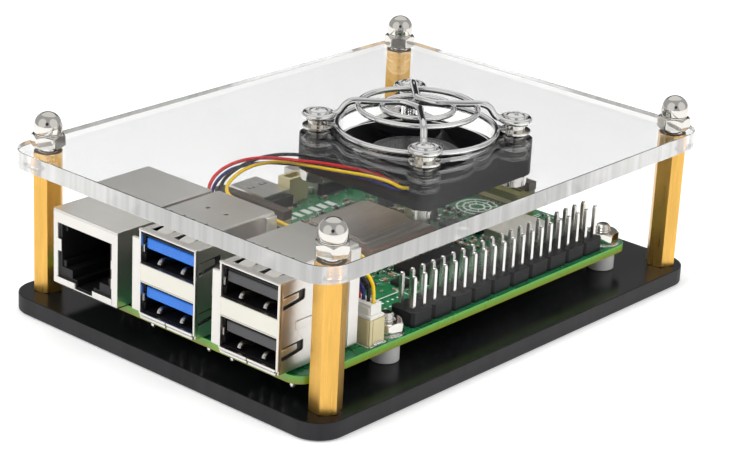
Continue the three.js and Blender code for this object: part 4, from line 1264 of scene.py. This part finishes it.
def make_fan_frame():
    """The fan's housing, with the slot that its wires leave by."""
    body = Form(FAN)
    outline = rectangle((-FAN_HALF, FAN_HALF), (-FAN_HALF, FAN_HALF), 2.6, 10)
    holes = [circle(x, y, 1.6, 28) for x, y in FAN_HOLES]
    body.add(sheet_form(outline, [circle(0, 0, BORE, 96), *holes], (-FAN_DEPTH, 0), 0.25, 2))
    for way in (0, 1):
        turn = Matrix.Rotation(math.pi / 2 * way + math.radians(45), 3, "Z")
        for start in (-14.3, 8.0):
            body.add(block((start, start + 6.3), (-0.9, 0.9), (-FAN_DEPTH, -5.4), 0.15), turn=turn)
    mount = [(-FAN_DEPTH, 8.1), (-6.4, HUB), (-5.5, HUB), (-5.4, 8.1)]
    body.add(polar(mount, 64))
    for x, y in FAN_HOLES:
        boss = [(-6.42, 1.62), (-6.42, 2.75), (-0.08, 2.75), (-0.08, 1.62)]
        body.add(polar(boss, 40, hollow=True), at=(x, y, 0))
    made = body.make("fan_housing", PLASTIC["fan"], slot="fan_plastic", replaces=["fan_frame"])
    cut = Form(FAN)
    cut.add(block((-16, -13.9), (-11.6, -6.9), (-4.2, -0.8), 0.3))
    mesh = bpy.data.meshes.new("lead_exit")
    mesh.from_pydata([p * MM for p in cut.points], [], cut.faces)
    tool = bpy.data.objects.new("lead_exit", mesh)
    bpy.context.scene.collection.objects.link(tool)
    notch = made.modifiers.new("lead_exit", "BOOLEAN")
    notch.object, notch.operation, notch.solver = tool, "DIFFERENCE", "EXACT"
    bpy.context.view_layer.update()
    shape = bpy.data.meshes.new_from_object(made.evaluated_get(bpy.context.evaluated_depsgraph_get()))
    made.modifiers.clear()
    made.data = shape
    bpy.data.objects.remove(tool)


def blade(turn, across=9, along=8, thick=0.34):
    """One swept, arched blade from the hub to its tip, turned about the fan's axis."""
    root, tip = 8.0, 13.55
    points, faces = [], []
    for layer in (0, 1):
        for i in range(across + 1):
            s = i / across
            r = root + (tip - root) * s
            for j in range(along + 1):
                t = j / along - 0.5
                pitch = math.radians(44 - 12 * s)
                chord = (6.0 + 2.2 * s) * t
                arch = 0.9 * (1 - 4 * t * t) * (1 - 0.3 * s)
                swept = chord * math.cos(pitch) + arch * math.sin(pitch) + 1.6 * s * s
                z = -2.85 + chord * math.sin(pitch) - arch * math.cos(pitch) + (thick if layer else 0)
                z = max(-4.95, min(-0.9, z))
                a = swept / r + turn
                points.append((r * math.cos(a), r * math.sin(a), z))
    size = (across + 1) * (along + 1)
    for i in range(across):
        for j in range(along):
            a = i * (along + 1) + j
            b, c, d = a + 1, a + along + 2, a + along + 1
            faces += [[a, b, c, d], [size + a, size + d, size + c, size + b]]
    edge = list(range(along + 1))
    edge += [i * (along + 1) + along for i in range(1, across + 1)]
    edge += [across * (along + 1) + j for j in range(along - 1, -1, -1)]
    edge += [i * (along + 1) for i in range(across - 1, 0, -1)]
    for k, a in enumerate(edge):
        b = edge[(k + 1) % len(edge)]
        faces.append([b, a, size + a, size + b])
    return turned_outward(points, faces)


def make_fan_rotor():
    """The hub with its label and shaft, and the blades."""
    rotor = Form(FAN)
    hub = [(-4.9, 8.2), (-4.8, HUB), (-1.6, HUB), (-1.2, 8.2), (-0.95, 7.95), (-0.82, 7.5), (-0.8, 7.0)]
    rotor.add(polar(hub, 80), 0)
    rotor.add(polar([(-0.82, 6.1), (-0.74, 6.1), (-0.72, 6.0)], 64), 1)
    rotor.add(polar([(-5.9, 0.85), (-4.7, 0.85)], 24), 2)
    for number in range(BLADES):
        rotor.add(blade(2 * math.pi * number / BLADES), 0)
    rotor.make("fan_impeller", [PLASTIC["fan"], PLASTIC["label"], METAL["nickel"]], body="fan_rotor",
               slot="fan_plastic", replaces=["fan_rotor"])


def ring_path(radius, z, count, x=0.0, y=0.0):
    """The points of a level circle."""
    return [(px, py, z) for px, py in circle(x, y, radius, count)]


# The guard's heights above the cover, and its wires' radii.
GUARD_TOP = (FAN[0], FAN[1], COVER_Z + PLATE_T)
RING_LEVEL, RAISED_LEVEL, EYE_LEVEL, ARM_LEVEL = 0.5, 4.0, 2.3, 4.85
RING_WIRE, EYE_WIRE, ARM_WIRE, TAB_WIRE = 0.5, 0.55, 0.6, 0.4
EYE_RADIUS = 2.4


def guard_arm(first, second):
    """An arm from one corner's eye, up and in, round a bend and out to the next corner's eye."""
    half = [(14.57, EYE_LEVEL), (13.47, 2.8), (12.37, 4.25)]
    half += [(r, ARM_LEVEL) for r in (11.17, 8, 4.6, 2.9)]
    bend = ((first[0] + second[0]) * 1.25, (first[1] + second[1]) * 1.25, ARM_LEVEL)
    out = [(first[0] * r, first[1] * r, z) for r, z in half]
    back = [(second[0] * r, second[1] * r, z) for r, z in reversed(half)]
    return smooth_path([*out, bend, *back], 7)


def make_guard():
    """The wire guard: three rings, two arms, and an eye and a tab at each screw hole."""
    guard = Form(GUARD_TOP)
    d = math.sqrt(0.5)
    front, right, rear, left = (-d, -d), (d, -d), (d, d), (-d, d)
    for radius, z in ((13.8, RING_LEVEL), (10.3, RAISED_LEVEL), (6.2, RAISED_LEVEL)):
        guard.add(tube(ring_path(radius, z, 96), RING_WIRE, 14, closed=True))
    for pair in ((left, front), (right, rear)):
        guard.add(tube(guard_arm(*pair), ARM_WIRE, 14))
    for x, y in FAN_HOLES:
        guard.add(tube(ring_path(EYE_RADIUS, EYE_LEVEL, 40, x, y), EYE_WIRE, 12, closed=True))
        out = Vector((x, y, 0)).normalized()
        tab = [(out.x * r, out.y * r, RING_LEVEL) for r in (13.6, 14.4, 15.2)]
        guard.add(tube(tab, TAB_WIRE, 12))
    guard.make("wire_guard", METAL["chrome"], slot="chrome", replaces=["finger_guard"], sharp=60)


def crossed_head(turn, rings=16, columns=64):
    """A domed screw head with a cross cut into it, which sits in an eye of the guard."""
    radius, crown, rise, wide, long, deep = 1.82, 2.75, 0.75, 0.28, 1.05, 0.55
    around = [2 * math.pi * c / columns for c in range(columns)]
    points = [(0, 0, 3.2)]
    for k in range(1, rings + 1):
        r = radius * k / rings
        for a in around:
            z = crown + rise * math.sqrt(max(0.0, 1 - (r / radius) ** 2 * 0.96))
            u, v = abs(r * math.cos(a + turn)), abs(r * math.sin(a + turn))
            if min(u, v) < wide and max(u, v) < long:
                z -= deep
            points.append((r * math.cos(a), r * math.sin(a), z))
    for r, z in ((radius, 2.0), (1.75, 1.87)):
        points += [(r * math.cos(a), r * math.sin(a), z) for a in around]
    faces = [[0, 1 + c, 1 + (c + 1) % columns] for c in range(columns)]
    for k in range(rings + 1):
        low, high = 1 + k * columns, 1 + (k + 1) * columns
        faces += [[low + c, high + c, high + (c + 1) % columns, low + (c + 1) % columns]
                  for c in range(columns)]
    faces.append([1 + (rings + 1) * columns + c for c in reversed(range(columns))])
    return points, faces


def make_fan_fixings():
    """The guard's collars, and the screws through them with the nuts under the fan."""
    for i, (x, y) in enumerate(FAN_HOLES, 1):
        collar = Form(GUARD_TOP)
        rows = [(0, 1.5), (0, 2.65), (0.1, 2.75), (0.42, 2.75), (0.52, 2.65), (0.56, 1.75), (1.75, 1.75),
                (1.85, 1.65), (1.85, 1.5)]
        collar.add(polar(rows, 48, hollow=True), at=(x, y, 0))
        collar.make(f"guard_collar_{i}", METAL["nickel"], slot="chrome")
        screw = Form(GUARD_TOP)
        screw.add(crossed_head(0.35 + i), at=(x, y, 0))
        screw.add(polar(thread(1.4, 0.18, 0.5, (-11.9, 1.9)), 36), at=(x, y, 0))
        screw.make(f"fan_bolt_{i}", METAL["chrome"], slot="chrome", replaces=[f"fan_screw_{i}"], sharp=50)
        nut = Form(FAN)
        rows = chamfered(FAN_NUT_ACROSS, (-8.5, -6.52), rise=0.26, turn=18 + 20 * i)
        rows += [(-6.52, 1.6), (-6.7, 1.46), (-8.3, 1.46), (-8.5, 1.6)]
        nut.add(polar(rows, 96, hollow=True), at=(x, y, 0))
        nut.make(f"fan_hex_nut_{i}", METAL["nickel"], slot="nickel", replaces=[f"fan_nut_{i}"])


make_fan_frame()
make_fan_rotor()
make_guard()
make_fan_fixings()

# ---------------------------------------------------------------- studio


def make_floor():
    """A pale plain floor, a hair below the object."""
    mesh = bpy.data.meshes.new("floor")
    size = 3.0
    corners = [(-size, -size, 0), (size, -size, 0), (size, size, 0), (-size, size, 0)]
    mesh.from_pydata(corners, [], [[0, 1, 2, 3]])
    floor = bpy.data.objects.new("floor", mesh)
    floor.location.z = -0.0002
    bpy.context.scene.collection.objects.link(floor)
    paint = surface("floor_paint", (0.82, 0.82, 0.82), 0.9, spread=0.01, relief=0.02,
                    Emission_Color=(1, 1, 1, 1), Emission_Strength=0.32)
    mesh.materials.append(paint)


def make_light(name, place, size, power, aim=(0.0, 0.0, 0.015)):
    """A soft lamp aimed at the object. It lights surfaces but isn't reflected in them."""
    data = bpy.data.lights.new(name, "AREA")
    data.shape, data.size, data.size_y, data.energy = "RECTANGLE", size[0], size[1], power
    lamp = bpy.data.objects.new(name, data)
    lamp.location = place
    lamp.rotation_mode = "QUATERNION"
    lamp.rotation_quaternion = (Vector(aim) - Vector(place)).to_track_quat("-Z", "Y")
    lamp.visible_glossy = False
    bpy.context.scene.collection.objects.link(lamp)


def make_world():
    """A grey room: three bright boxes, a dark patch beyond and a dark stripe behind the camera."""
    world = bpy.data.worlds.new("studio")
    world.use_nodes = True
    tree = world.node_tree
    background = tree.nodes["Background"]
    place = tree.nodes.new("ShaderNodeTexCoord").outputs["Generated"]

    def towards(direction, start, end):
        dot = tree.nodes.new("ShaderNodeVectorMath")
        dot.operation = "DOT_PRODUCT"
        dot.inputs[1].default_value = direction
        tree.links.new(place, dot.inputs[0])
        span = tree.nodes.new("ShaderNodeMapRange")
        span.interpolation_type = "SMOOTHSTEP"
        span.inputs["From Min"].default_value, span.inputs["From Max"].default_value = start, end
        tree.links.new(dot.outputs["Value"], span.inputs["Value"])
        return span.outputs[0]

    def mixed(factor, first, second):
        node = tree.nodes.new("ShaderNodeMix")
        node.data_type = "RGBA"
        tree.links.new(factor, node.inputs["Factor"])
        for value, socket in ((first, node.inputs["A"]), (second, node.inputs["B"])):
            if isinstance(value, tuple):
                socket.default_value = (*value, 1)
            else:
                tree.links.new(value, socket)
        return node.outputs["Result"]

    def raised(way, angle):
        """A direction at an angle above the floor: away from the camera for 1, towards it for -1."""
        return Vector((way * flat.x * math.cos(angle), way * flat.y * math.cos(angle), math.sin(angle)))

    flat = Vector((-back_direction.x, -back_direction.y, 0)).normalized()
    left_box = Vector((-0.88, 0.1, 0.46)).normalized()
    right_box = Vector((0.2, -0.86, 0.46)).normalized()
    grey, bright = (0.46, 0.46, 0.47), (0.86, 0.85, 0.83)
    dark, stripe = (0.03, 0.03, 0.033), (0.05, 0.05, 0.05)
    colour = mixed(towards(raised(1, 0.40), 0.87, 0.955), grey, dark)
    for box in (left_box, right_box, raised(1, 0.98)):
        colour = mixed(towards(box, 0.80, 0.86), colour, bright)
    colour = mixed(towards(raised(-1, 0.5), 0.965, 0.985), colour, stripe)
    tree.links.new(colour, background.inputs["Color"])
    background.inputs["Strength"].default_value = 0.95
    bpy.context.scene.world = world


make_floor()
make_light("key", (-0.55, 0.25, 0.6), (0.5, 0.5), 3.0)
make_light("fill", (0.25, -0.7, 0.5), (0.5, 0.45), 2.0)
make_light("top", (0.1, 0.1, 0.9), (0.7, 0.7), 1.8)
make_world()
bpy.context.scene.view_settings.view_transform = "Standard"
